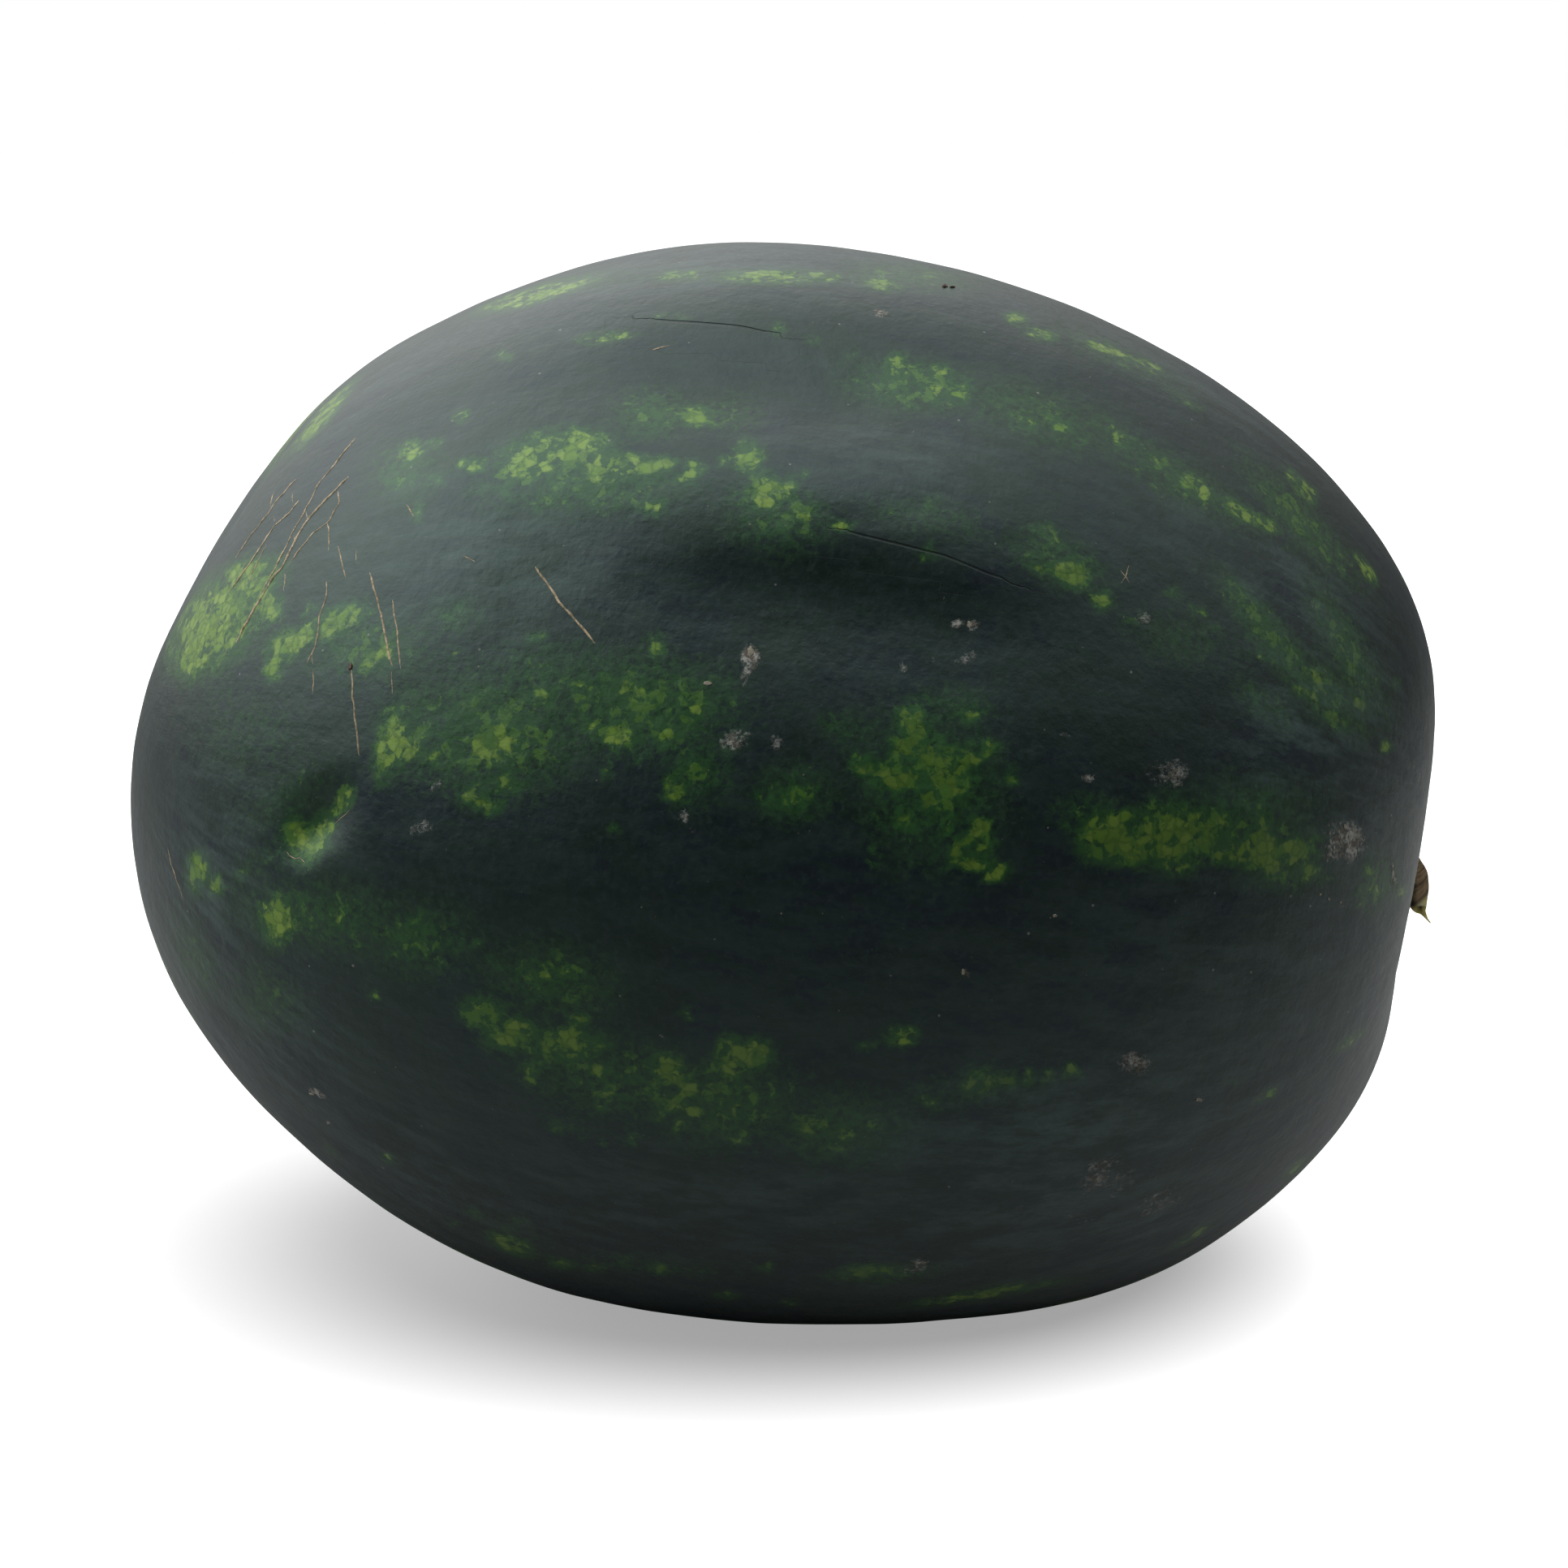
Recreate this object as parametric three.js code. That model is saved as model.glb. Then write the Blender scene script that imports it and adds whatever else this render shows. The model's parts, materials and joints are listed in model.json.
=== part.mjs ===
// A whole watermelon lying on its side, with the dry stub of its stalk in the hollow at one end.
// Millimetres, +Z up. The stem end points to +X, the front is -Y, and the fruit rests on Z = 0.
// Latitude runs from -90 at the blossom end to 90 at the stem end, and longitude goes round the
// fruit: 0 is the front, 90 the top, -90 the underside and 180 the back.

import * as THREE from "three";

// The fruit's main size, from its middle
const HALF_LENGTH = 138.5;
const HALF_WIDTH = 115.8;
const FULLNESS = 2.2;           // 2 is an ellipse, and more gives squarer shoulders

// How it lies
const STEM_END_DIP = 8.4;       // degrees that the stem end hangs below level
const MIDDLE_HEIGHT = 112.5;    // height of the fruit's middle over the ground
const REST_ROUNDING = 0.9;      // how far above the ground the flat spot rounds into the belly

// Broad swellings and hollows of the whole fruit: `spread` in degrees, `rise` in millimetres
const BODY_FORMS = [
  { lat: -48, lon: 90, spread: 21, rise: -7.9 },    // the top slopes down to the blossom end
  { lat: -51.5, lon: -90, spread: 18.5, rise: -3.9 },
  { lat: -73, lon: 90, spread: 8.5, rise: -6.2 },
  { lat: -65, lon: -90, spread: 12.5, rise: 2.8 },
  { lat: 22.5, lon: 90, spread: 21, rise: -2.1 },
  { lat: 45, lon: -90, spread: 15, rise: 6.3 },     // full belly under the stem end
  { lat: 83.5, lon: 0, spread: 10, rise: -6.5 },    // the stem end is flattened
  { lat: 71.5, lon: 90, spread: 13.5, rise: 4.6 },
  { lat: 72, lon: -90, spread: 10, rise: 7 },
  { lat: 21, lon: -90, spread: 12.5, rise: -4.9 },  // the side it grew on is a little flat
  { lat: -25, lon: -90, spread: 15.5, rise: 1.5 },
  { lat: 12, lon: 155, spread: 20, rise: 1.2 },     // gentle unevenness of the back
  { lat: -30, lon: -150, spread: 16, rise: -1.4 },
];

// Low folds of the skin on the upper front: `along` the fruit and `across` it, in degrees
const SKIN_FOLDS = [
  { lat: -2, lon: 42, along: 16, across: 5.5, turn: -4, rise: 1.9 },      // long swelling
  { lat: -12, lon: 55, along: 19, across: 5, turn: 3, rise: -1.5 },       // valley above it
  { lat: -8, lon: 28, along: 21, across: 5, turn: -5, rise: -2 },         // hollow below it
  { lat: -33, lon: 33, along: 12, across: 8, turn: 0, rise: 0.9 },        // shoulder to its left
  { lat: 22, lon: 20, along: 14, across: 7, turn: 0, rise: 0.7 },
];

// A healed gouge on the front, near the blossom end
const GOUGE = { lat: -48, lon: -1.5, turn: 53, halfLength: 12, halfWidth: 5.2, depth: 3.4 };
const GOUGE_RIM = { rise: 0.34, at: 1.15, width: 0.14 };    // in half widths from the middle

// The two ends
const STALK_RADIUS = 3.3;
const STALK_GAP = 0.3;          // between the stub's root and its socket
const STALK_SOCKET_DEPTH = 5;
const STALK_HOLLOW = { depth: 2.2, reach: 9 };        // shallow hollow round the stalk
const STALK_COLLAR = { rise: 1, radius: 5.7, width: 1.1 };
const BLOSSOM_SCAR = { depth: 1.4, reach: 5 };

// The stalk's stub
const STALK_END_RADIUS = 3;
const STALK_ROUTE = [[-4.7, 0], [-2, 0], [1.2, 0.1], [4.4, -0.7], [6.8, -3], [7.7, -6], [7.9, -9.8]];
const STALK_ROUND_UNTIL = 0.35; // share of the length that is smooth and round
const STALK_RIDGED_FROM = 0.6;
const STALK_RIDGES = [{ count: 5, height: 0.15, phase: 0.8 }, { count: 9, height: 0.08, phase: 2.1 }];
const STALK_SHRINKAGE = 0.22;   // how much the ridged part has shrunk between its ridges
const STALK_PITH_DEPTH = 2.6;
const TEAR_SLANT = 1.7;         // the torn end is shorter in front than behind
const TEAR_TEETH = [{ count: 3, height: 0.5, phase: -0.6 }, { count: 7, height: 0.35, phase: 0.4 }];
const SPLINTER = { at: 98, width: 21, length: 3.5, lean: 1.1 };

// Rings over the torn end, from outside over the woody wall and down into the hollow pith:
// `inset` from the outside, `tear` as a share of the tear's shape, `out` along the stub
const TORN_END = [
  { inset: 0, tear: 0.5, out: 0.2 },
  { inset: 0, tear: 1, out: 0.4 },
  { inset: 0.7, tear: 0.92, out: 0.2 },
  { inset: 0.9, tear: 0.4, out: 0 },
  { inset: 1.35, tear: 0, out: -2.1 },
];

// How finely the surfaces are divided
const FRUIT_COLUMNS = 96;
const FULL_STEP = 3.75;         // degrees between rings round the middle of the fruit
const STEM_FIRST_STEP = 0.5;
const BLOSSOM_FIRST_STEP = 1.3;
const STEP_GROWTH = 1.32;
const FINER_AT_GOUGE = { reach: 26, share: 0.55 };
const STALK_COLUMNS = 40;
const STALK_RINGS = 12;

const radians = THREE.MathUtils.degToRad;

function direction(lat, lon) {
  const a = radians(lat);
  const o = radians(lon);
  return new THREE.Vector3(Math.sin(a), -Math.cos(a) * Math.cos(o), Math.cos(a) * Math.sin(o));
}

// Where a direction falls on the surface as seen from one place on it: the angle away from that
// place, in degrees, split into a part along the fruit and a part round it, after a turn
function offsetFrom(place, toward) {
  const centre = direction(place.lat, place.lon);
  const north = direction(place.lat + 90, place.lon);
  const east = new THREE.Vector3(0, Math.sin(radians(place.lon)), Math.cos(radians(place.lon)));
  const turn = radians(place.turn ?? 0);
  const along = north.clone().multiplyScalar(Math.cos(turn)).addScaledVector(east, Math.sin(turn));
  const across = new THREE.Vector3().crossVectors(centre, along);
  const angle = THREE.MathUtils.radToDeg(centre.angleTo(toward));
  const sides = [toward.dot(along), toward.dot(across)];
  const reach = Math.hypot(...sides) || 1;
  return sides.map((side) => (angle * side) / reach);
}

function bell(distance, width) {
  return Math.exp(-0.5 * (distance / width) ** 2);
}

function formRise(form, toward) {
  const [along, across] = offsetFrom(form, toward);
  return form.rise * bell(along, form.along ?? form.spread) * bell(across, form.across ?? form.spread);
}

// The gouge is a long pit with a rounded floor and a low rim
function gougeDepth(toward) {
  const millimetresPerDegree = radians(1) * HALF_WIDTH;
  const [along, across] = offsetFrom(GOUGE, toward).map((angle) => angle * millimetresPerDegree);
  const distance = Math.hypot(along / GOUGE.halfLength, across / GOUGE.halfWidth);
  const pit = distance < 1 ? (1 - distance ** 2) ** 1.5 : 0;
  return GOUGE.depth * pit - GOUGE_RIM.rise * bell(distance - GOUGE_RIM.at, GOUGE_RIM.width);
}

function endRelief(toward, radius) {
  const fromAxis = radius * Math.hypot(toward.y, toward.z);
  if (toward.x < 0) {
    return -BLOSSOM_SCAR.depth * bell(fromAxis, BLOSSOM_SCAR.reach);
  }
  const collar = STALK_COLLAR.rise * bell(fromAxis - STALK_COLLAR.radius, STALK_COLLAR.width);
  return collar - STALK_HOLLOW.depth * bell(fromAxis, STALK_HOLLOW.reach);
}

function skinPoint(toward) {
  const along = Math.abs(toward.x) / HALF_LENGTH;
  const around = Math.hypot(toward.y, toward.z) / HALF_WIDTH;
  let radius = (along ** FULLNESS + around ** FULLNESS) ** (-1 / FULLNESS);
  for (const form of [...BODY_FORMS, ...SKIN_FOLDS]) {
    radius += formRise(form, toward);
  }
  radius += endRelief(toward, radius) - gougeDepth(toward);
  return toward.clone().multiplyScalar(radius);
}

// Rings lie closer together at the ends. The angles run from one end to the middle of the fruit.
function ringAngles(first, firstStep) {
  const angles = [first];
  let step = firstStep;
  while (angles.at(-1) < 90) {
    angles.push(angles.at(-1) + step);
    step = Math.min(step * STEP_GROWTH, FULL_STEP);
  }
  const stretch = (90 - first) / (angles.at(-1) - first);
  return angles.map((angle) => first + (angle - first) * stretch);
}

// Points near the gouge are drawn towards it, so that the mesh is finer there
function drawnToGouge(toward) {
  const centre = direction(GOUGE.lat, GOUGE.lon);
  const angle = THREE.MathUtils.radToDeg(centre.angleTo(toward));
  if (angle < 1e-6 || angle > FINER_AT_GOUGE.reach) {
    return toward;
  }
  const share = FINER_AT_GOUGE.share * (1 - (angle / FINER_AT_GOUGE.reach) ** 2) ** 2;
  const axis = new THREE.Vector3().crossVectors(toward, centre).normalize();
  return toward.clone().applyAxisAngle(axis, radians(angle * share));
}

// A closed body over rings that all have the same number of points, with a point at either end
function closedBody(start, rings, end) {
  const columns = rings[0].length;
  const points = [start, ...rings.flat(), end];
  const index = [];
  for (let column = 0; column < columns; column += 1) {
    const next = (column + 1) % columns;
    index.push(0, 1 + column, 1 + next);
    for (let ring = 1; ring < rings.length; ring += 1) {
      const low = 1 + (ring - 1) * columns;
      const high = 1 + ring * columns;
      index.push(low + column, high + column, high + next);
      index.push(low + column, high + next, low + next);
    }
    const last = 1 + (rings.length - 1) * columns;
    index.push(points.length - 1, last + next, last + column);
  }
  const geometry = new THREE.BufferGeometry().setFromPoints(points);
  geometry.setIndex(index);
  return geometry;
}

// The belly goes flat where it would sink into the ground, and rounds over into the skin beside it
function restOnGround(geometry) {
  const position = geometry.getAttribute("position");
  for (let i = 0; i < position.count; i += 1) {
    const height = position.getZ(i);
    if (height < REST_ROUNDING) {
      const lift = Math.max(height + REST_ROUNDING, 0);
      position.setZ(i, lift ** 2 / (4 * REST_ROUNDING));
    }
  }
}

function stemPole() {
  return skinPoint(new THREE.Vector3(1, 0, 0));
}

function melonGeometry() {
  const socketAngle = THREE.MathUtils.radToDeg(Math.asin((STALK_RADIUS + STALK_GAP) / stemPole().x));
  const stemHalf = ringAngles(socketAngle, STEM_FIRST_STEP).map((angle) => 90 - angle);
  const blossomHalf = ringAngles(BLOSSOM_FIRST_STEP, BLOSSOM_FIRST_STEP).map((angle) => angle - 90);
  const latitudes = [...blossomHalf, ...stemHalf.slice(0, -1).reverse()];
  const rings = latitudes.map((lat) => Array.from({ length: FRUIT_COLUMNS }, (_, column) => {
    const lon = (360 * column) / FRUIT_COLUMNS;
    return skinPoint(drawnToGouge(direction(lat, lon)));
  }));
  const floor = stemPole().x - STALK_SOCKET_DEPTH;
  rings.push(rings.at(-1).map((point) => new THREE.Vector3(floor, point.y, point.z)));
  const blossomPole = skinPoint(new THREE.Vector3(-1, 0, 0));
  const geometry = closedBody(blossomPole, rings, new THREE.Vector3(floor, 0, 0));
  geometry.rotateY(radians(STEM_END_DIP));
  geometry.translate(0, 0, MIDDLE_HEIGHT);
  restOnGround(geometry);
  return geometry;
}

function waves(list, angle) {
  return list.reduce((sum, wave) => sum + wave.height * Math.cos(wave.count * angle + wave.phase), 0);
}

// The stub is round where it stands in the socket, and drier, ridged and thinner further out
function stalkRadius(share, angle) {
  const ridged = THREE.MathUtils.smoothstep(share, STALK_ROUND_UNTIL, STALK_RIDGED_FROM);
  const smooth = THREE.MathUtils.lerp(STALK_RADIUS, STALK_END_RADIUS, share);
  return smooth + ridged * (waves(STALK_RIDGES, angle) - STALK_SHRINKAGE);
}

// How far the torn end reaches past the end of the route, round the stub
function tear(angle) {
  const fromSplinter = angle - radians(SPLINTER.at);
  const away = Math.atan2(Math.sin(fromSplinter), Math.cos(fromSplinter));
  const splinter = SPLINTER.length * bell(away, radians(SPLINTER.width));
  return waves(TEAR_TEETH, angle) - TEAR_SLANT * Math.cos(angle) + splinter;
}

function stalkGeometry() {
  const route = new THREE.CatmullRomCurve3(STALK_ROUTE.map(([x, z]) => new THREE.Vector3(x, 0, z)));
  const front = new THREE.Vector3(0, -1, 0);

  function ring(share, place) {
    const middle = route.getPointAt(share);
    const tangent = route.getTangentAt(share);
    const upper = new THREE.Vector3().crossVectors(front, tangent);
    return Array.from({ length: STALK_COLUMNS }, (_, column) => {
      const angle = (2 * Math.PI * column) / STALK_COLUMNS;
      const outward = front.clone().multiplyScalar(Math.cos(angle)).addScaledVector(upper, Math.sin(angle));
      const reach = tear(angle) * place.tear;
      return middle.clone()
        .addScaledVector(outward, stalkRadius(share, angle) - place.inset)
        .addScaledVector(upper, Math.max(reach - TEAR_SLANT, 0) * SPLINTER.lean)
        .addScaledVector(tangent, reach + place.out);
    });
  }

  const rings = [];
  for (let i = 0; i <= STALK_RINGS; i += 1) {
    rings.push(ring(i / STALK_RINGS, { inset: 0, tear: 0, out: 0 }));
  }
  for (const place of TORN_END) {
    rings.push(ring(1, place));
  }
  const pith = route.getPointAt(1).addScaledVector(route.getTangentAt(1), -STALK_PITH_DEPTH);
  return closedBody(route.getPointAt(0), rings, pith);
}

function named(name, geometry, material) {
  const mesh = new THREE.Mesh(geometry, material);
  mesh.name = name;
  geometry.computeVertexNormals();
  return mesh;
}

const rind = new THREE.MeshStandardMaterial({ color: 0x24302d, roughness: 0.42, metalness: 0 });
const dryStalk = new THREE.MeshStandardMaterial({ color: 0x5b4833, roughness: 0.9, metalness: 0 });

const melon = named("melon", melonGeometry(), rind);
const stem = named("stem", stalkGeometry(), dryStalk);

// The stub stands along the fruit's own axis, in the hollow at the stem end
const stalkPlace = new THREE.Group();
stalkPlace.rotation.y = radians(STEM_END_DIP);
stalkPlace.position.copy(stemPole()).applyEuler(stalkPlace.rotation);
stalkPlace.position.z += MIDDLE_HEIGHT;
stalkPlace.add(stem);

// The origin is on the ground under the middle of the whole thing
const wholeFruit = new THREE.Group();
wholeFruit.add(melon, stalkPlace);
const centre = new THREE.Box3().setFromObject(wholeFruit, true).getCenter(new THREE.Vector3());
wholeFruit.position.set(-centre.x, -centre.y, 0);

export default wholeFruit;
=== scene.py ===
import json
import math

import bpy
import numpy as np
from mathutils import Matrix, Vector, noise

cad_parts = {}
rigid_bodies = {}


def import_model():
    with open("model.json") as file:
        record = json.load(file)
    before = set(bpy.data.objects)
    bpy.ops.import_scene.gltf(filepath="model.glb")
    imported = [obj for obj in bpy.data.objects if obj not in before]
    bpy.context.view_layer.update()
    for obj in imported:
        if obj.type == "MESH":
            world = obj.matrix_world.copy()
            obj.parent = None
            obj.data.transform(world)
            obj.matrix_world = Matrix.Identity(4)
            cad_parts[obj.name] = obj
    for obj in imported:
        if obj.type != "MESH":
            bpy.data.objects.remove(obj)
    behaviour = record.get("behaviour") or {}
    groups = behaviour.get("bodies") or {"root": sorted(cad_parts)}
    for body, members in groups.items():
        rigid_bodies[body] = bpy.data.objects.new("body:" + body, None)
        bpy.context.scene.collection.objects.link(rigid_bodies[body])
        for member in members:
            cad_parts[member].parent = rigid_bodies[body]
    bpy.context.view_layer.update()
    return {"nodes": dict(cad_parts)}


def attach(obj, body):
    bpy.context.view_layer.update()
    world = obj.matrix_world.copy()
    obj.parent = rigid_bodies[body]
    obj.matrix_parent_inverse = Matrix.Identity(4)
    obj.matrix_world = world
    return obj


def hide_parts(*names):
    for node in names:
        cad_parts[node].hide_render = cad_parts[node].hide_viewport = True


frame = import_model()

# Camera
# It stands in front of the fruit, a little towards the blossom end, and looks slightly down.
# Marks on the skin are placed by their pixel in the photograph, 1932 by 1932, from its top left.
PHOTO_SIZE = 1932
CAMERA_AZIMUTH = math.radians(-5)
CAMERA_ELEVATION = math.radians(12)
CAMERA_DISTANCE = 0.796
CAMERA_LENS = 85
CAMERA_SENSOR = 36
FRUIT_MIDDLE = Vector((-0.00285, -0.00021, 0.1125))
CAMERA_AIM = FRUIT_MIDDLE + Vector((0.0004, 0, -0.00085))

camera_back = Vector((
    math.sin(CAMERA_AZIMUTH) * math.cos(CAMERA_ELEVATION),
    -math.cos(CAMERA_AZIMUTH) * math.cos(CAMERA_ELEVATION),
    math.sin(CAMERA_ELEVATION),
))
camera_right = Vector((math.cos(CAMERA_AZIMUTH), math.sin(CAMERA_AZIMUTH), 0))
camera_up = camera_back.cross(camera_right)
camera_place = CAMERA_AIM + camera_back * CAMERA_DISTANCE
photo_focus = CAMERA_LENS / CAMERA_SENSOR * PHOTO_SIZE

bpy.ops.object.camera_add(location=camera_place)
camera = bpy.context.object
camera.name = "photo_camera"
camera.data.lens = CAMERA_LENS
camera.data.sensor_width = CAMERA_SENSOR
camera.data.clip_start = 0.01
camera.data.clip_end = 50
camera.rotation_mode = "QUATERNION"
camera.rotation_quaternion = Matrix((camera_right, camera_up, camera_back)).transposed().to_quaternion()
bpy.context.scene.camera = camera
bpy.context.scene.view_settings.view_transform = "Standard"


# Floor and light
# A white floor in soft light. A large window is on the left, a weaker one behind, and a narrow
# one overhead, while the front is dark. A lamp over the fruit gives the floor its round shadow.
FLOOR_SIZE = 12
FLOOR_WHITE = 0.25
FLOOR_GLOW = [(0.24, 0.36), (0.7, 1)]
# Grey of the floor as it lights the fruit, from BOUNCE_REACH in front of it to as far behind
BOUNCE_REACH = 0.6
BOUNCE_FLOOR = [(0.05, 0.01), (0.25, 0.03), (0.36, 0.045), (0.42, 0.065), (0.52, 0.075), (0.75, 0.11)]
SOFT_LIGHTS = [
    # azimuth from straight behind, elevation, narrowness, strength
    (-80, 46, 6, 2.55),
    (-116, 38, 8, 0.9),
    (-5, 38, 8, 1.4),
    (165, 83, 22, 1.8),
    (90, 52, 6, 0.8),
    (-40, 4, 6, 0.4),
]
SIDE_LIGHT = 0.02
SHADOW_LAMP = {"place": (0.24, -0.55, 0.95), "size": 1.75, "power": 100}


def add_node(tree, kind, inputs=None, **settings):
    """Adds a shader node. An input that is a socket is linked, and any other value is set."""
    made = tree.nodes.new(kind)
    for name, value in settings.items():
        setattr(made, name, value)
    for name, value in (inputs or {}).items():
        if isinstance(value, bpy.types.NodeSocket):
            tree.links.new(value, made.inputs[name])
        else:
            made.inputs[name].default_value = value
    return made


def math_node(tree, operation, first, second=0.0, third=0.0):
    """Adds a Math node and returns its result."""
    made = add_node(tree, "ShaderNodeMath", {0: first, 1: second, 2: third}, operation=operation)
    return made.outputs["Value"]


def times(tree, value, factor, plus=0.0):
    """Multiplies a value, adds another to it, and returns the result."""
    return math_node(tree, "MULTIPLY_ADD", value, factor, plus)


def new_finish(name):
    """Makes a material and returns it with its node tree and its shader."""
    made = bpy.data.materials.new(name)
    made.use_nodes = True
    return made, made.node_tree, made.node_tree.nodes["Principled BSDF"]


bpy.ops.mesh.primitive_plane_add(size=FLOOR_SIZE, location=(0, 0, 0))
floor = bpy.context.object
floor.name = "floor"
floor_material, ground, _ = new_finish("white_floor")
ground.nodes.clear()
ground_place = add_node(ground, "ShaderNodeTexCoord").outputs["Object"]
ground_reach = add_node(ground, "ShaderNodeVectorMath", {0: ground_place}, operation="LENGTH")
ground_back = add_node(ground, "ShaderNodeMapRange", {
    "Value": add_node(ground, "ShaderNodeSeparateXYZ", {"Vector": ground_place}).outputs["Y"],
    "From Min": -BOUNCE_REACH, "From Max": BOUNCE_REACH,
}).outputs["Result"]


def grey_floor(distance, levels):
    """A grey that changes over the floor by a distance."""
    ramp = add_node(ground, "ShaderNodeValToRGB", {"Fac": distance})
    for reach, level in levels:
        stop = ramp.color_ramp.elements.new(reach)
        stop.color = (level, level, level, 1)
    ramp.color_ramp.elements.remove(ramp.color_ramp.elements[0])
    ramp.color_ramp.elements.remove(ramp.color_ramp.elements[-1])
    return ramp.outputs["Color"]


bounce = add_node(ground, "ShaderNodeBsdfDiffuse", {"Color": grey_floor(ground_back, BOUNCE_FLOOR)})
floor_paint = add_node(ground, "ShaderNodeBsdfDiffuse", {"Color": (FLOOR_WHITE, FLOOR_WHITE, FLOOR_WHITE, 1)})
floor_glow = add_node(ground, "ShaderNodeEmission", {
    "Color": grey_floor(ground_reach.outputs["Value"], FLOOR_GLOW),
})
shown_floor = add_node(ground, "ShaderNodeAddShader", {
    0: floor_paint.outputs["BSDF"],
    1: floor_glow.outputs["Emission"],
})
ground_mix = add_node(ground, "ShaderNodeMixShader", {
    0: add_node(ground, "ShaderNodeLightPath").outputs["Is Camera Ray"],
    1: bounce.outputs["BSDF"],
    2: shown_floor.outputs["Shader"],
})
add_node(ground, "ShaderNodeOutputMaterial", {"Surface": ground_mix.outputs["Shader"]})
floor.data.materials.append(floor_material)

bpy.ops.object.light_add(type="AREA", location=SHADOW_LAMP["place"])
shadow_lamp = bpy.context.object
shadow_lamp.name = "shadow_lamp"
shadow_lamp.data.shape = "DISK"
shadow_lamp.data.size = SHADOW_LAMP["size"]
shadow_lamp.data.energy = SHADOW_LAMP["power"]
lamp_receivers = bpy.data.collections.new("lit_by_shadow_lamp")
lamp_receivers.objects.link(floor)
shadow_lamp.light_linking.receiver_collection = lamp_receivers

world = bpy.data.worlds.new("studio")
bpy.context.scene.world = world
world.use_nodes = True
sky = world.node_tree
sky.nodes.clear()
sky_direction = add_node(sky, "ShaderNodeTexCoord").outputs["Generated"]
sky_level = SIDE_LIGHT
for azimuth, elevation, narrowness, strength in SOFT_LIGHTS:
    level = math.cos(math.radians(elevation))
    toward = (
        math.sin(math.radians(azimuth)) * level,
        math.cos(math.radians(azimuth)) * level,
        math.sin(math.radians(elevation)),
    )
    nearness = add_node(sky, "ShaderNodeVectorMath", {0: sky_direction, 1: toward}, operation="DOT_PRODUCT")
    lobe = times(sky, nearness.outputs["Value"], narrowness, -narrowness)
    sky_level = times(sky, math_node(sky, "EXPONENT", lobe), strength, sky_level)
sky_glow = add_node(sky, "ShaderNodeBackground", {"Color": (1, 1, 1, 1), "Strength": sky_level})
sky_white = add_node(sky, "ShaderNodeBackground", {"Color": (1, 1, 1, 1), "Strength": 1})
sky_mix = add_node(sky, "ShaderNodeMixShader", {
    0: add_node(sky, "ShaderNodeLightPath").outputs["Is Camera Ray"],
    1: sky_glow.outputs["Background"],
    2: sky_white.outputs["Background"],
})
add_node(sky, "ShaderNodeOutputWorld", {"Surface": sky_mix.outputs["Shader"]})


# The fruit's skin
# One closed skin over the whole fruit, thin, hard and waxy: dark blue-green with broken stripes of
# pale flecks from end to end, a grey bloom, a healed gouge, and a few low folds near the top. Part of
# the bloom is painted sheen, and painted shade darkens the creases and some pale flecks.
SKIN_FINENESS = 2
STEM_END_DIP = math.radians(8.4)
DIMPLE_SIZES = [(0.016, 0.00016), (0.0075, 0.00007)]

STEM_RING = 0.0048
STEM_RING_WIDTH = 0.0016
BLOSSOM_SCAR = 0.0032
CELL_SIZE = 0.0022
CELL_WARP = 0.0026
CELL_DISORDER = 0.9
WARP_SIZE = 0.003
CRUMB_SIZE = 0.0009
DUST_SPACING = 0.0042
FINE_DUST_SPACING = 0.0019
LEATHER_HEIGHT = 0.00022
PEEL_HEIGHT = 0.00007
STREAK_HEIGHT = 0.00005
CREASE_DEPTH = 0.00035
CRUST_HEIGHT = 0.00012
BLUE_BLACK = (0.0052, 0.0088, 0.0182, 1)
GREEN_BLACK = (0.0055, 0.0145, 0.009, 1)
GREY_BLOTCH = (0.014, 0.0265, 0.025, 1)
GREY_MOTTLE = (0.018, 0.03, 0.03, 1)
GREEN_STREAK = (0.007, 0.02, 0.011, 1)
DEEP_GREEN = (0.01, 0.046, 0.012, 1)
MID_GREEN = (0.034, 0.115, 0.024, 1)
BRIGHT_CRUMB = (0.07, 0.16, 0.02, 1)
FLECK_GREEN = (0.11, 0.215, 0.018, 1)
FLECK_YELLOW = (0.2, 0.31, 0.045, 1)
FLECK_DULLED_AND_SHADED = (0.034, 0.083, 0.012, 1)
FLECK_EDGE = (0.03, 0.08, 0.014, 1)
BLOOM_AND_SHEEN_BLUE = (0.085, 0.135, 0.135, 1)
CRUST_BROWN = (0.14, 0.11, 0.085, 1)
CRUST_WHITE = (0.5, 0.49, 0.45, 1)
DUST_WHITE = (0.28, 0.27, 0.24, 1)
DUST_BROWN = (0.17, 0.145, 0.125, 1)
# Painted shade along the creases
CREASE_PAINTED_SHADE = (0.004, 0.006, 0.006, 1)
END_CORK = (0.15, 0.115, 0.07, 1)
WAX_GLINT = (0.76, 1, 0.93, 1)

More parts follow.
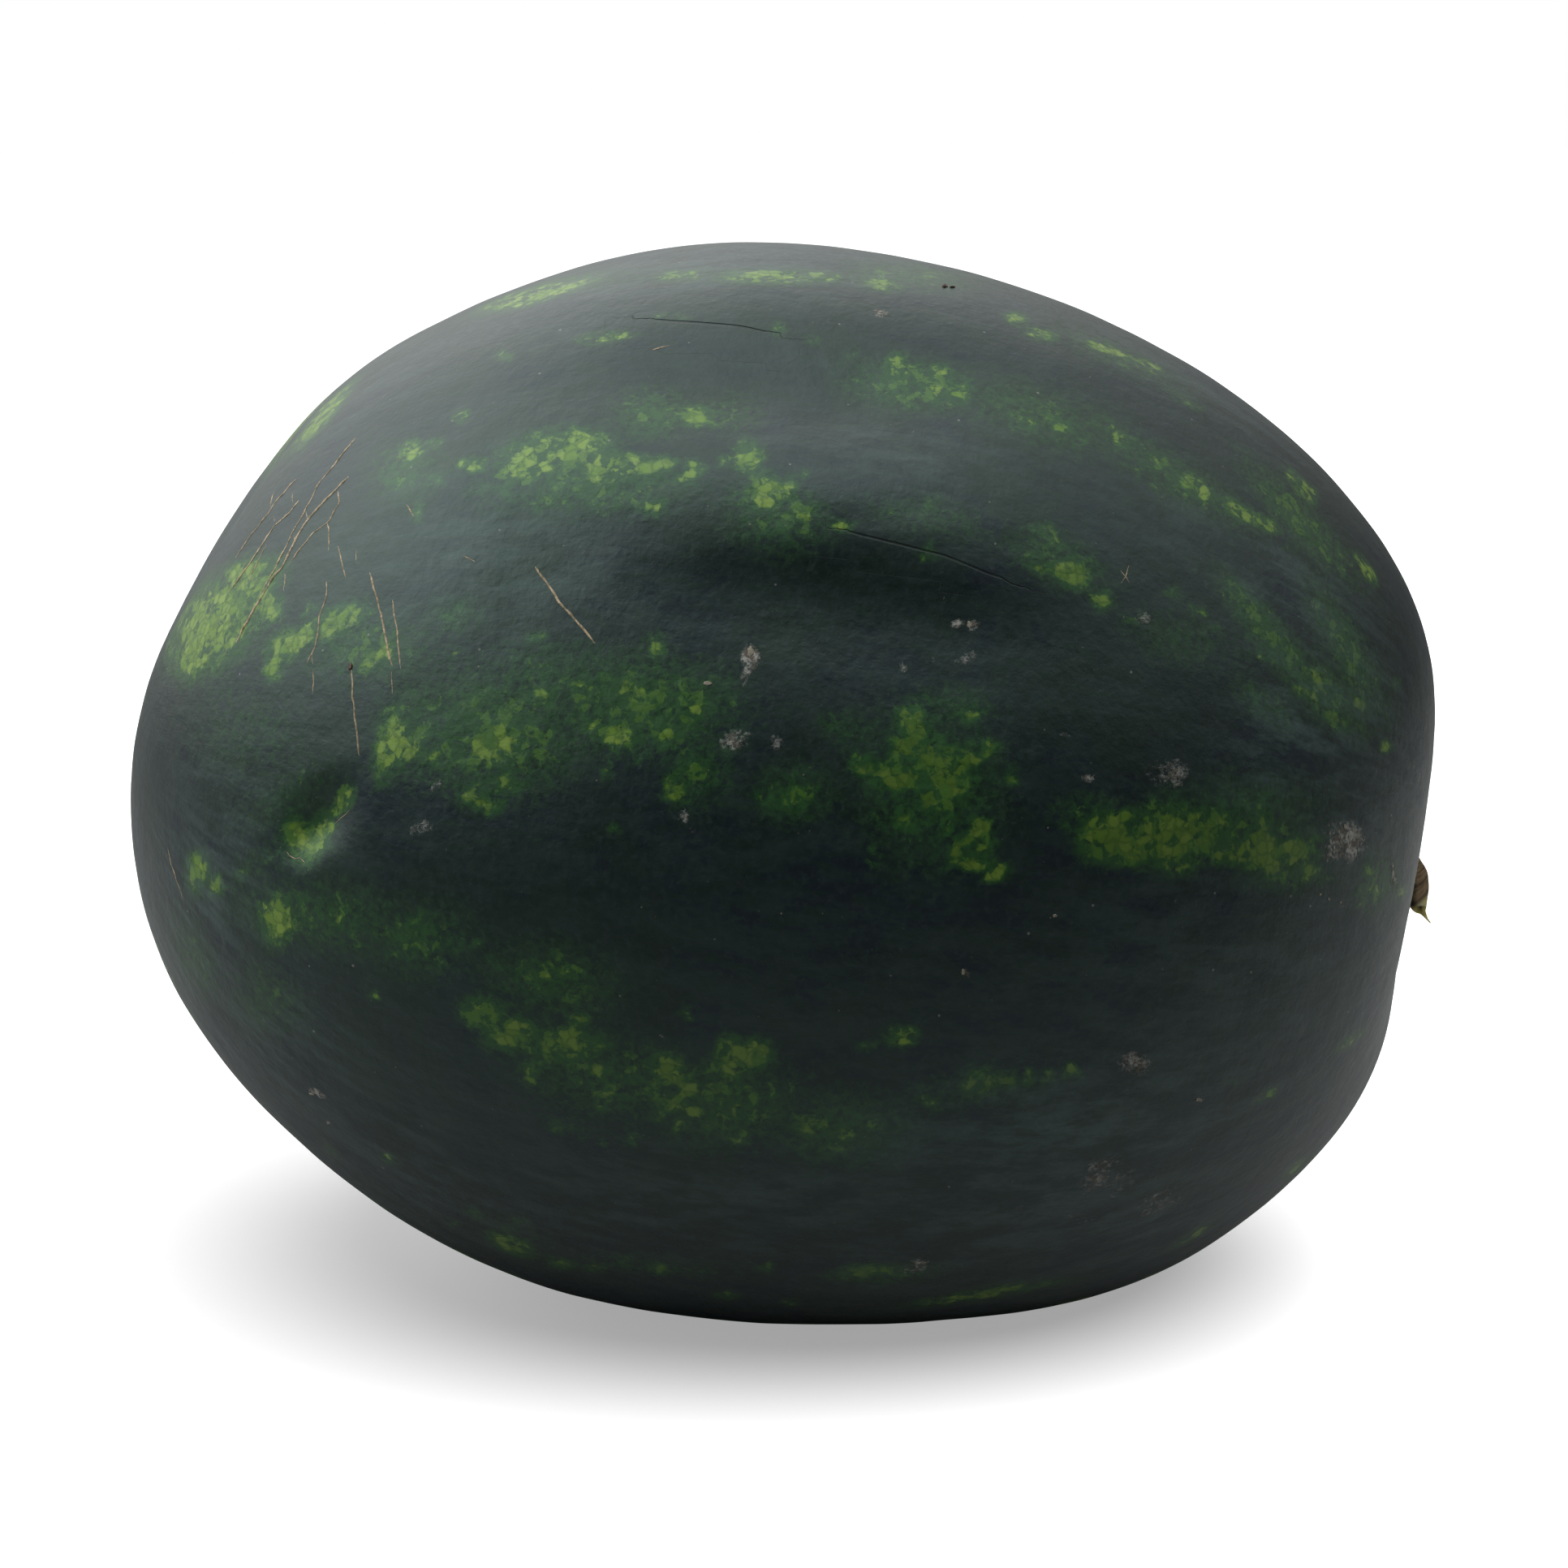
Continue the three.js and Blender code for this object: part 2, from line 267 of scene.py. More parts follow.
# Pale flecks as they lie in the photograph: x, y, half length, half width, turn, strength
PALE_FLECKS = [
    # in the gouge
    (369, 1036, 11, 20, 20, 1.5), (391, 1030, 9, 22, -20, 1.4), (380, 1046, 17, 7, 10, 1.3),
    (405, 1020, 9, 7, 30, 0.8), (425, 984, 8, 13, -20, 1.1), (413, 1000, 8, 7, 0, 0.7),
    # along the top
    (665, 362, 66, 9, 15, 0.75), (839, 339, 34, 7, 4, 0.55), (960, 341, 70, 8, 0, 0.7),
    (400, 507, 46, 9, 50, 0.9), (622, 439, 10, 6, 0, 0.6), (747, 415, 40, 8, 6, 0.45),
    (823, 390, 26, 6, 0, 0.4), (959, 403, 9, 5, 0, 0.6), (1001, 414, 12, 5, 0, 0.4),
    (1085, 350, 26, 9, -6, 0.5), (1251, 392, 13, 6, -8, 0.7), (1282, 412, 19, 6, -14, 0.7),
    (1366, 432, 30, 8, -20, 0.6), (1416, 451, 20, 7, -26, 0.6), (1461, 493, 25, 8, -32, 0.45),
    (1052, 432, 9, 5, 0, 0.5), (1105, 446, 13, 11, 0, 0.9), (1124, 450, 9, 6, 0, 0.6),
    (1158, 454, 16, 6, -8, 0.75), (1155, 474, 17, 8, -16, 0.8), (1187, 480, 11, 8, 0, 0.7),
    (1270, 521, 10, 7, 0, 0.5), (1307, 527, 11, 8, 0, 0.75), (1334, 545, 9, 6, 0, 0.45),
    (1366, 521, 16, 6, -24, 0.45), (1384, 541, 15, 8, -22, 0.7), (1427, 567, 10, 7, 0, 0.8),
    (1474, 600, 21, 9, -36, 1), (1528, 631, 20, 8, -32, 0.95), (1562, 646, 16, 7, -30, 0.8),
    (1601, 598, 22, 6, -50, 0.85), (1616, 608, 8, 5, -50, 0.6), (1590, 674, 9, 6, -40, 0.4),
    (1686, 706, 15, 5, -62, 0.7), (1675, 686, 8, 4, -60, 0.5), (1719, 841, 6, 8, 0, 0.5),
    # upper stripe, from the left
    (507, 555, 13, 12, 0, 0.8), (538, 545, 8, 7, 0, 0.6), (568, 512, 10, 8, 0, 0.55),
    (490, 592, 12, 9, 0, 0.4), (536, 591, 8, 7, 0, 0.7), (515, 632, 7, 9, 0, 0.7),
    (581, 572, 17, 7, 0, 0.8), (600, 603, 12, 8, 0, 0.4), (619, 612, 9, 6, 0, 0.45),
    (686, 556, 50, 19, 8, 1), (655, 575, 34, 12, 10, 0.95), (713, 541, 14, 11, 0, 1),
    (752, 576, 27, 18, 0, 0.82), (740, 592, 14, 8, 0, 0.8), (779, 563, 9, 8, 0, 0.7),
    (796, 577, 10, 14, 0, 0.9), (818, 571, 11, 8, 0, 0.9), (854, 577, 10, 9, 0, 0.85),
    (844, 592, 9, 6, 0, 0.6), (857, 503, 17, 11, 0, 0.95), (815, 505, 12, 10, 0, 0.4),
    (895, 566, 11, 7, 0, 0.55), (923, 560, 13, 17, 0, 1), (942, 608, 14, 20, 0, 0.95),
    (903, 614, 10, 9, 0, 0.6), (803, 626, 15, 6, -6, 0.9), (970, 605, 10, 10, 0, 0.8),
    (987, 586, 9, 7, 0, 0.55), (990, 634, 15, 11, 0, 0.85), (968, 622, 7, 6, 0, 0.6),
    (1035, 648, 13, 5, -10, 0.7), (1091, 631, 9, 5, 0, 0.55), (1147, 620, 9, 6, 0, 0.55),
    (1141, 684, 10, 4, -14, 0.7), (1197, 660, 9, 5, 0, 0.45), (1287, 656, 15, 9, 0, 0.6),
    (1301, 674, 9, 7, 0, 0.5), (1318, 707, 22, 12, -20, 0.85), (1282, 701, 12, 6, 0, 0.6),
    (1341, 690, 12, 6, 0, 0.45), (1357, 740, 11, 8, 0, 0.85), (1394, 763, 12, 7, 0, 0.45),
    (1444, 729, 8, 6, 0, 0.6), (1478, 754, 9, 6, 0, 0.65), (1495, 774, 9, 6, 0, 0.5),
    (1551, 808, 10, 6, 0, 0.55), (1624, 836, 15, 8, -40, 0.75), (1596, 847, 14, 9, -30, 0.6),
    (1646, 886, 15, 7, -50, 0.85), (1674, 868, 11, 8, -50, 0.7), (1613, 857, 16, 7, -40, 0.6),
    (1708, 920, 7, 7, 0, 0.6),
    # broad patch at the left
    (308, 711, 33, 18, 15, 0.95), (262, 770, 46, 33, 48, 1.2), (243, 806, 26, 15, 60, 1.1),
    (330, 747, 15, 18, 0, 0.9), (354, 795, 21, 14, 20, 1), (336, 824, 10, 12, 0, 0.9),
    (420, 762, 28, 13, 18, 0.95), (382, 777, 12, 8, 0, 0.9), (404, 778, 10, 7, 0, 0.8),
    (443, 761, 9, 6, 0, 0.8), (380, 749, 8, 7, 0, 0.6), (461, 813, 18, 9, 12, 0.95),
    (477, 802, 8, 13, 0, 0.8), (553, 757, 18, 11, 0, 0.42), (558, 803, 12, 8, 0, 0.4),
    # middle stripe
    (660, 787, 9, 7, 0, 0.65), (808, 795, 12, 18, 0, 0.55), (584, 867, 9, 14, 0, 0.8),
    (624, 846, 10, 7, 0, 0.5), (670, 860, 9, 12, 0, 0.9), (711, 846, 11, 7, 0, 0.7),
    (727, 844, 9, 6, 0, 0.8), (778, 853, 17, 16, 0, 0.85), (859, 874, 11, 8, 0, 0.85),
    (482, 884, 11, 10, 0, 0.85), (502, 854, 8, 6, 0, 0.5), (525, 877, 8, 7, 0, 0.5),
    (482, 918, 34, 13, 76, 1.05), (510, 916, 11, 17, 0, 0.95), (533, 932, 11, 11, 0, 0.85),
    (589, 921, 15, 13, 0, 0.85), (624, 908, 16, 20, 0, 1), (606, 933, 14, 8, 0, 0.8),
    (622, 965, 17, 9, -10, 0.85), (584, 980, 15, 10, -16, 0.85), (605, 995, 12, 9, 0, 0.75),
    (732, 896, 8, 8, 0, 0.6), (765, 906, 19, 13, 0, 0.95), (823, 911, 9, 14, 0, 0.8),
    (785, 932, 8, 7, 0, 0.6), (750, 947, 7, 8, 0, 0.75), (828, 967, 10, 16, 0, 0.75),
    (849, 943, 9, 10, 0, 0.75), (838, 985, 12, 6, 0, 0.65), (757, 1022, 7, 8, 0, 0.55),
    (942, 985, 14, 9, 0, 0.45), (973, 985, 18, 13, 0, 0.5), (1023, 886, 14, 10, 0, 0.4),
    (1127, 888, 16, 17, 0, 0.95), (1066, 943, 14, 9, -16, 0.95), (1136, 922, 31, 14, -4, 0.95),
    (1165, 945, 26, 22, 0, 1), (1106, 958, 25, 16, 0, 1), (1214, 923, 18, 8, 0, 0.7),
    (1192, 936, 16, 10, 0, 0.75), (1147, 986, 13, 16, 0, 0.95), (1116, 1010, 12, 12, 0, 0.9),
    (1176, 968, 19, 11, 0, 0.9), (1169, 1015, 8, 9, 0, 0.85), (1206, 1021, 12, 14, 0, 0.9),
    (1184, 1036, 8, 7, 0, 0.7), (1215, 1044, 11, 10, 0, 0.85), (1197, 1062, 15, 8, -16, 0.95),
    (1226, 1074, 14, 9, 0, 1), (1172, 1056, 8, 7, 0, 0.8), (1197, 878, 13, 12, 0, 0.6),
    (1077, 1058, 7, 9, 0, 0.55), (1245, 954, 8, 7, 0, 0.7), (1124, 886, 10, 10, 0, 0.7),
    (1361, 1030, 26, 24, 0, 1), (1394, 1003, 13, 7, 0, 0.75), (1400, 1047, 22, 15, 0, 0.95),
    (1440, 1029, 29, 29, 0, 1.1), (1485, 1025, 27, 21, 0, 1.05), (1450, 1062, 20, 12, 0, 0.9),
    (1514, 1049, 20, 13, 0, 0.9), (1551, 1046, 28, 18, 0, 1), (1555, 1010, 9, 21, 0, 0.9),
    (1559, 985, 7, 9, 0, 0.75), (1568, 1069, 18, 8, 0, 0.75), (1597, 1050, 21, 15, 0, 0.9),
    (1613, 1074, 11, 9, 0, 0.75), (1618, 1038, 9, 7, 0, 0.7), (1315, 1021, 8, 8, 0, 0.45),
    (1688, 1072, 7, 10, 0, 0.6), (1700, 1091, 11, 8, 0, 0.75), (1726, 1098, 6, 7, 0, 0.8),
    (1678, 1100, 9, 8, 0, 0.55), (1673, 1112, 8, 6, 0, 0.5),
    # lower left
    (244, 1075, 11, 21, 0, 0.85), (265, 1090, 8, 12, 0, 0.75), (298, 1077, 8, 7, 0, 0.6),
    (341, 1132, 17, 26, 0, 0.95), (326, 1115, 8, 8, 0, 0.6), (369, 1105, 7, 6, 0, 0.4),
    (418, 1133, 6, 9, 0, 0.6), (517, 1131, 9, 7, 0, 0.5), (507, 1151, 14, 12, 0, 0.42),
    (461, 1225, 7, 7, 0, 0.5), (594, 1166, 9, 7, 0, 0.45), (599, 1186, 8, 7, 0, 0.55),
    (647, 1189, 7, 8, 0, 0.7), (675, 1200, 10, 7, 0, 0.85), (703, 1199, 8, 7, 0, 0.9),
    (596, 1249, 20, 15, -20, 1), (629, 1273, 25, 15, 6, 1), (660, 1294, 11, 7, 0, 0.7),
    (697, 1287, 31, 15, 0, 1), (735, 1286, 15, 7, 0, 0.85), (711, 1259, 14, 7, 0, 0.7),
    (655, 1320, 9, 14, 0, 0.8), (678, 1310, 7, 8, 0, 0.65), (737, 1319, 8, 11, 0, 0.75),
    (844, 1248, 7, 8, 0, 0.65), (823, 1318, 21, 14, -30, 0.95), (845, 1340, 12, 12, 0, 0.9),
    (808, 1346, 11, 10, 0, 0.75), (749, 1342, 9, 8, 0, 0.7), (737, 1356, 7, 10, 0, 0.6),
    (831, 1360, 11, 10, 0, 0.85), (855, 1371, 12, 8, 0, 0.7), (811, 1376, 11, 8, 0, 0.65),
    (834, 1386, 9, 6, 0, 0.7), (897, 1303, 10, 22, 0, 0.95), (929, 1299, 17, 14, 0, 1),
    (875, 1318, 8, 8, 0, 0.7), (908, 1322, 11, 9, 0, 0.75), (914, 1369, 13, 9, 0, 0.85),
    (867, 1384, 8, 6, 0, 0.6), (910, 1402, 9, 7, 0, 0.65), (691, 1391, 18, 7, -10, 0.5),
    (716, 1398, 8, 6, 0, 0.5), (742, 1409, 8, 7, 0, 0.5), (778, 1403, 9, 7, 0, 0.55),
    (584, 1495, 8, 6, -20, 0.6), (640, 1503, 7, 6, 0, 0.5), (631, 1534, 25, 9, -22, 0.8),
    (691, 1557, 14, 5, -8, 0.65), (732, 1561, 10, 5, 0, 0.55), (767, 1551, 8, 5, 0, 0.5),
    (815, 1564, 12, 5, 0, 0.5), (941, 1562, 10, 5, 0, 0.45), (895, 1596, 16, 5, 0, 0.5),
    (405, 1417, 10, 5, -40, 0.4), (480, 1427, 14, 5, -30, 0.42), (556, 1508, 10, 5, -20, 0.4),
    # lower right
    (928, 1302, 17, 14, 0, 0.9), (1110, 1276, 17, 11, 0, 0.75), (1066, 1290, 12, 7, 0, 0.5),
    (1206, 1335, 16, 14, 16, 0.9), (1238, 1331, 18, 6, 2, 0.75), (1270, 1327, 8, 7, 0, 0.65),
    (1293, 1326, 9, 7, 0, 0.7), (1321, 1319, 7, 9, 0, 0.7), (1135, 1347, 8, 7, 0, 0.6),
    (1150, 1358, 8, 7, 0, 0.65), (1004, 1390, 23, 7, -4, 0.85), (1046, 1397, 19, 9, 0, 0.7),
    (1015, 1417, 11, 7, 0, 0.7), (984, 1415, 8, 6, 0, 0.6), (911, 1403, 9, 6, 0, 0.5),
    (1068, 1568, 37, 8, 4, 0.75), (1214, 1594, 90, 6, 9, 0.6), (945, 1560, 10, 5, 0, 0.45),
    (973, 1605, 12, 5, 0, 0.4), (1562, 1349, 15, 5, 26, 0.5), (1517, 1333, 9, 6, 0, 0.4),
    (1663, 1282, 22, 5, 36, 0.5), (1596, 1439, 26, 5, 42, 0.45), (1467, 1523, 34, 5, 32, 0.45),
]

# Mid green round the flecks and in places where none stand
GREEN_PATCHES = [
    (310, 900, 120, 90, 0, 0.42), (330, 1060, 110, 50, 20, 0.42),
    (1570, 790, 120, 24, -52, 0.9), (1660, 800, 120, 30, -62, 0.75), (1600, 640, 120, 26, -48, 0.8),
    (1560, 870, 70, 26, -40, 0.6), (280, 880, 50, 120, 0, 0.4), (240, 1180, 40, 90, 20, 0.5),
    (800, 505, 60, 40, 10, 0.7), (900, 500, 60, 40, 0, 0.5), (500, 580, 60, 50, 20, 0.6),
    (720, 600, 160, 45, 0, 0.7), (960, 640, 90, 60, -10, 0.6), (450, 800, 120, 60, 0, 0.6),
    (560, 760, 60, 40, 0, 0.5), (600, 900, 150, 90, 0, 0.75), (790, 870, 140, 70, 0, 0.8),
    (700, 830, 170, 50, 0, 0.6), (860, 950, 60, 60, 0, 0.6), (360, 980, 120, 60, 30, 0.45),
    (400, 1130, 150, 60, -10, 0.6), (520, 1160, 90, 60, 0, 0.6), (680, 1210, 110, 60, -10, 0.6),
    (760, 1330, 150, 70, -10, 0.6), (900, 1360, 120, 70, 0, 0.65), (1040, 1390, 110, 60, 0, 0.6),
    (1200, 1340, 150, 40, 10, 0.45), (980, 980, 70, 50, 0, 0.6), (1150, 980, 110, 120, -20, 0.6),
    (1160, 870, 90, 40, 0, 0.5), (1340, 1000, 60, 30, 0, 0.6), (1530, 1010, 130, 70, 0, 0.6),
    (1590, 1080, 80, 26, 0, 0.6), (1700, 1090, 40, 60, 0, 0.6), (1640, 860, 80, 40, -45, 0.7),
    (1460, 790, 110, 50, -20, 0.45), (1300, 690, 90, 40, -20, 0.6), (1150, 640, 130, 40, -10, 0.45),
    (1450, 590, 160, 36, -32, 0.6), (1280, 510, 160, 50, -18, 0.55), (1130, 470, 110, 36, -8, 0.7),
    (1120, 340, 120, 24, -6, 0.6), (700, 350, 160, 20, 8, 0.5), (1380, 440, 140, 26, -24, 0.5),
    (330, 1230, 80, 60, -40, 0.5), (640, 1520, 90, 30, -20, 0.4), (800, 1560, 160, 24, -4, 0.45),
    (1100, 1570, 110, 20, 4, 0.5), (1230, 1590, 120, 16, 10, 0.5), (1060, 900, 60, 40, 0, 0.45),
    (640, 720, 50, 24, 0, 0.3), (1500, 700, 60, 40, -30, 0.35),
]

# Grey-blue bloom, the fruit's own wax, where it lies thickest; the patches along the top, on the
# swelling, at the right limb and low down are also painted sheen where light reflects
BLOOM_AND_SHEEN_PATCHES = [
    (1310, 1390, 240, 80, 8, 0.95), (1420, 1500, 160, 60, 20, 0.7),
    (1590, 740, 90, 60, -50, 1), (1610, 900, 90, 110, 20, 1.1), (1690, 850, 40, 110, 10, 0.8),
    (1560, 960, 60, 60, 0, 0.6), (1660, 1010, 50, 60, 0, 0.7),
    (260, 1100, 70, 170, -14, 0.8), (330, 1300, 110, 90, -40, 0.7), (500, 1450, 160, 60, -35, 0.6),
    (900, 1480, 380, 60, 0, 0.5), (1300, 1470, 260, 110, 10, 0.7), (1420, 1340, 150, 90, 10, 0.5),
    (1500, 1200, 200, 110, 0, 0.35), (620, 690, 170, 80, 0, 0.55), (500, 660, 140, 60, 30, 0.4),
    (1120, 560, 160, 50, -6, 0.5), (1450, 640, 130, 70, -25, 0.35), (460, 440, 170, 60, 36, 0.5),
    (860, 330, 300, 40, 0, 0.5), (1500, 480, 180, 40, -30, 0.5),
]

# Painted shade on the pale flecks, which are made darker in the middle, in the lower parts and under the fold
FLECK_SHADE_PATCHES = [
    (1130, 970, 110, 150, 0, 0.9), (1480, 1050, 170, 60, 0, 0.75), (1210, 1330, 160, 40, 0, 0.9),
    (820, 1330, 330, 90, -12, 0.6), (1000, 1560, 500, 40, 0, 0.8), (590, 980, 60, 50, 0, 0.5),
    (880, 950, 70, 60, 0, 0.6), (1340, 720, 70, 50, 0, 0.4), (1640, 870, 80, 80, 0, 0.6),
]

# Scurf: dry grey-brown crusts a few millimetres wide
SCURF_PATCHES = [
    (926, 806, 9, 14, 0, 1.2), (871, 843, 8, 5, 0, 1.2), (905, 911, 20, 14, 0, 0.75),
    (957, 914, 13, 10, 0, 0.7), (1182, 766, 12, 6, -30, 0.85), (1200, 768, 9, 9, 0, 0.8),
    (1115, 818, 10, 8, -50, 0.8), (1190, 811, 16, 8, 10, 0.8), (1155, 812, 8, 6, 0, 0.6),
    (536, 969, 20, 8, 30, 0.75), (523, 1019, 20, 13, 20, 0.6), (843, 1003, 10, 9, 0, 0.8),
    (853, 1024, 9, 9, 0, 0.8), (1438, 953, 28, 20, 0, 0.7), (1385, 706, 10, 10, 0, 0.6),
    (1408, 762, 18, 12, 0, 0.5), (1657, 1037, 28, 26, 20, 0.95), (1640, 1048, 16, 15, 0, 1),
    (1717, 1078, 5, 24, 6, 0.9), (1650, 1110, 24, 8, -30, 0.55), (1132, 1560, 24, 9, 14, 0.9),
    (1396, 1312, 22, 20, 0, 0.75), (1365, 1450, 36, 26, 20, 0.66), (1430, 1480, 40, 16, 30, 0.55),
    (1330, 1500, 26, 14, 0, 0.5), (1260, 1487, 20, 14, 0, 0.4),
    (1188, 1198, 5, 5, 0, 1.1), (1477, 1355, 6, 5, 0, 1.1), (1300, 1128, 5, 5, 0, 0.9),
    (392, 1347, 12, 4, -30, 0.9), (405, 1382, 6, 6, 0, 0.7), (812, 1278, 7, 6, 0, 0.7),
    (1084, 386, 12, 5, 0, 0.7), (1310, 905, 14, 5, -10, 0.6), (1340, 958, 10, 7, 0, 0.5),
    (970, 840, 8, 5, 0, 0.5), (919, 835, 6, 14, 0, 0.6),
]

# The fold near the top: the lower edge of the swelling, the valley above it and the wrinkles. No
# relief is laid on the flat spot that the fruit rests on.
LOW_SHOULDER = [
    (640, 775), (739, 745), (806, 715), (908, 700), (1036, 700), (1110, 712), (1211, 735), (1290, 762),
    (1360, 790),
]
SHOULDER_RISE = 0.0018
SHOULDER_WIDTH = 0.0055
SWELLING_WIDTH = 0.016
HOLLOW_WIDTH = 0.06
VALLEY = [(640, 560), (760, 515), (860, 492), (960, 487), (1060, 495), (1170, 520), (1290, 575)]
VALLEY_DEPTH = 0.0028
VALLEY_WIDTH = 0.007
FLAT_SPOT = 0.0012
WRINKLES = {"middle": (1010, 665), "reach": (330, 110), "size": 0.0038, "height": 0.00022}
CREASES = [
    [(1030, 653), (1060, 662), (1110, 674), (1160, 686), (1211, 706), (1262, 726)],
    [(782, 392), (850, 396), (905, 400), (960, 409)],
]
CREASE_TAPER = 0.0006
CREASE_REACH = 0.006
NO_CREASE = 0.02

# Stripes on the sides that the photograph doesn't show, by their longitude round the fruit
STRIPE_LONGITUDES = [69, 33, 4, -33, -64, -97, -130, -163, 164, 131, 100]
STRIPE_HALF_WIDTH = 7.5


def pick(*pieces):
    """Selects only these pieces and makes the last one active."""
    bpy.ops.object.select_all(action="DESELECT")
    for piece in pieces:
        piece.select_set(True)
    bpy.context.view_layer.objects.active = pieces[-1]


def dressed_copy(node_name, piece_name, fineness):
    """Copies a CAD node, joins its loose triangles into quads, and rounds them more finely."""
    pick(frame["nodes"][node_name])
    bpy.ops.object.duplicate()
    piece = bpy.context.object
    piece.name = piece_name
    bpy.ops.object.parent_clear(type="CLEAR_KEEP_TRANSFORM")
    bpy.ops.object.mode_set(mode="EDIT")
    bpy.ops.mesh.select_all(action="SELECT")
    bpy.ops.mesh.remove_doubles(threshold=1e-6)
    bpy.ops.mesh.customdata_custom_splitnormals_clear()
    bpy.ops.mesh.tris_convert_to_quads(face_threshold=math.radians(60), shape_threshold=math.radians(70))
    bpy.ops.object.mode_set(mode="OBJECT")
    bpy.ops.object.modifier_add(type="SUBSURF")
    piece.modifiers[-1].levels = fineness
    piece.modifiers[-1].render_levels = fineness
    bpy.ops.object.modifier_apply(modifier=piece.modifiers[-1].name)
    bpy.ops.object.shade_smooth()
    return piece


def mesh_array(collection, name):
    """Reads a vector of every point of a mesh as an array."""
    values = np.empty(len(collection) * 3, dtype=np.float32)
    collection.foreach_get(name, values)
    return values.reshape(-1, 3)


def noise_at(places, size, seed):
    """Soft noise between about -1 and 1 with lumps of a given size in metres."""
    shift = Vector((seed * 7.3, seed * 3.1, seed * 5.7))
    return np.array([noise.noise(Vector(place) / size + shift) for place in places])


def fade(value, low, high):
    """Goes smoothly from 0 at low to 1 at high."""
    share = np.clip((value - low) / (high - low), 0, 1)
    return share * share * (3 - 2 * share)


def place_points(piece, places):
    """Moves the points of a mesh to new places."""
    piece.data.vertices.foreach_set("co", places.astype(np.float32).ravel())
    piece.data.update()


def store(piece, name, values, kind="FLOAT", field="value"):
    """Stores values on the points of a mesh, for the shader to read."""
    layer = piece.data.attributes.new(name, kind, "POINT")
    layer.data.foreach_set(field, values.astype(np.float32).ravel())


skin = dressed_copy("melon", "melon_skin", SKIN_FINENESS)
skin_points = mesh_array(skin.data.vertices, "co")
skin_normals = mesh_array(skin.data.vertex_normals, "vector")
fruit_turn = np.array(Matrix.Rotation(-STEM_END_DIP, 3, "Y"))
on_fruit = (skin_points - np.array(FRUIT_MIDDLE)) @ fruit_turn.T
from_middle = np.linalg.norm(on_fruit, axis=1)
latitude = np.degrees(np.arcsin(on_fruit[:, 0] / from_middle))
longitude = np.degrees(np.arctan2(on_fruit[:, 2], -on_fruit[:, 1]))

to_camera = np.array(camera_place) - skin_points
depth = to_camera @ np.array(camera_back)
photo_x = PHOTO_SIZE / 2 - photo_focus * (to_camera @ np.array(camera_right)) / depth
photo_y = PHOTO_SIZE / 2 + photo_focus * (to_camera @ np.array(camera_up)) / depth
metres_per_pixel = depth / photo_focus
facing = (to_camera * skin_normals).sum(axis=1) / np.linalg.norm(to_camera, axis=1)
in_photo = fade(facing, 0.02, 0.12)


def above_line(line):
    """Distance in metres from a line in the photograph, above it positive, and how near its ends are."""
    best = np.full(len(skin_points), 1e9)
    signed = np.zeros(len(skin_points))
    along = np.zeros(len(skin_points))
    for part, ((x0, y0), (x1, y1)) in enumerate(zip(line, line[1:])):
        length = math.hypot(x1 - x0, y1 - y0)
        share = ((photo_x - x0) * (x1 - x0) + (photo_y - y0) * (y1 - y0)) / length ** 2
        share = np.clip(share, 0, 1)
        away = np.hypot(photo_x - x0 - share * (x1 - x0), photo_y - y0 - share * (y1 - y0))
        side = ((photo_x - x0) * (y1 - y0) - (photo_y - y0) * (x1 - x0)) / length
        nearer = away < best
        best = np.where(nearer, away, best)
        signed = np.where(nearer, np.where(side > 0, away, -away), signed)
        along = np.where(nearer, part + share, along)
    along = along / (len(line) - 1)
    return signed * metres_per_pixel, along


relief = np.zeros(len(skin_points))
for size, height in DIMPLE_SIZES:
    relief += height * noise_at(skin_points, size, 1)
above, along = above_line(LOW_SHOULDER)
reach = np.where(above > 0, SWELLING_WIDTH, HOLLOW_WIDTH)
shoulder = np.tanh(above / SHOULDER_WIDTH) * np.exp(-(above / reach) ** 2)
relief += SHOULDER_RISE * shoulder * fade(along, 0, 0.55) * (1 - fade(along, 0.6, 1)) * (facing > 0)
above, along = above_line(VALLEY)
valley = np.exp(-0.5 * (above / VALLEY_WIDTH) ** 2) * fade(along, 0, 0.5) * (1 - fade(along, 0.6, 1))
relief -= VALLEY_DEPTH * valley * (facing > 0)
wrinkled = np.exp(
    -((photo_x - WRINKLES["middle"][0]) / WRINKLES["reach"][0]) ** 2
    - ((photo_y - WRINKLES["middle"][1]) / WRINKLES["reach"][1]) ** 2) * (facing > 0)
relief += WRINKLES["height"] * wrinkled * noise_at(skin_points * np.array([0.35, 1, 1]), WRINKLES["size"], 12)
relief[skin_points[:, 2] < FLAT_SPOT] = 0
skin_points = skin_points + skin_normals * relief[:, None]
place_points(skin, skin_points)


def patches_on_skin(patches, core=0.55, edge=1.45, least=6.5):
    """How strongly each point of the skin lies in patches that are placed by their pixels."""
    covered = np.zeros(len(skin_points))
    for x, y, half_length, half_width, turn, strength in patches:
        turned = math.radians(turn)
        right = photo_x - x
        up = y - photo_y
        along = right * math.cos(turned) + up * math.sin(turned)
        across = up * math.cos(turned) - right * math.sin(turned)
        distance = np.hypot(along / max(half_length, least), across / max(half_width, least))
        covered = np.maximum(covered, strength * np.clip((edge - distance) / (edge - core), 0, 1))
    return covered * (facing > 0)


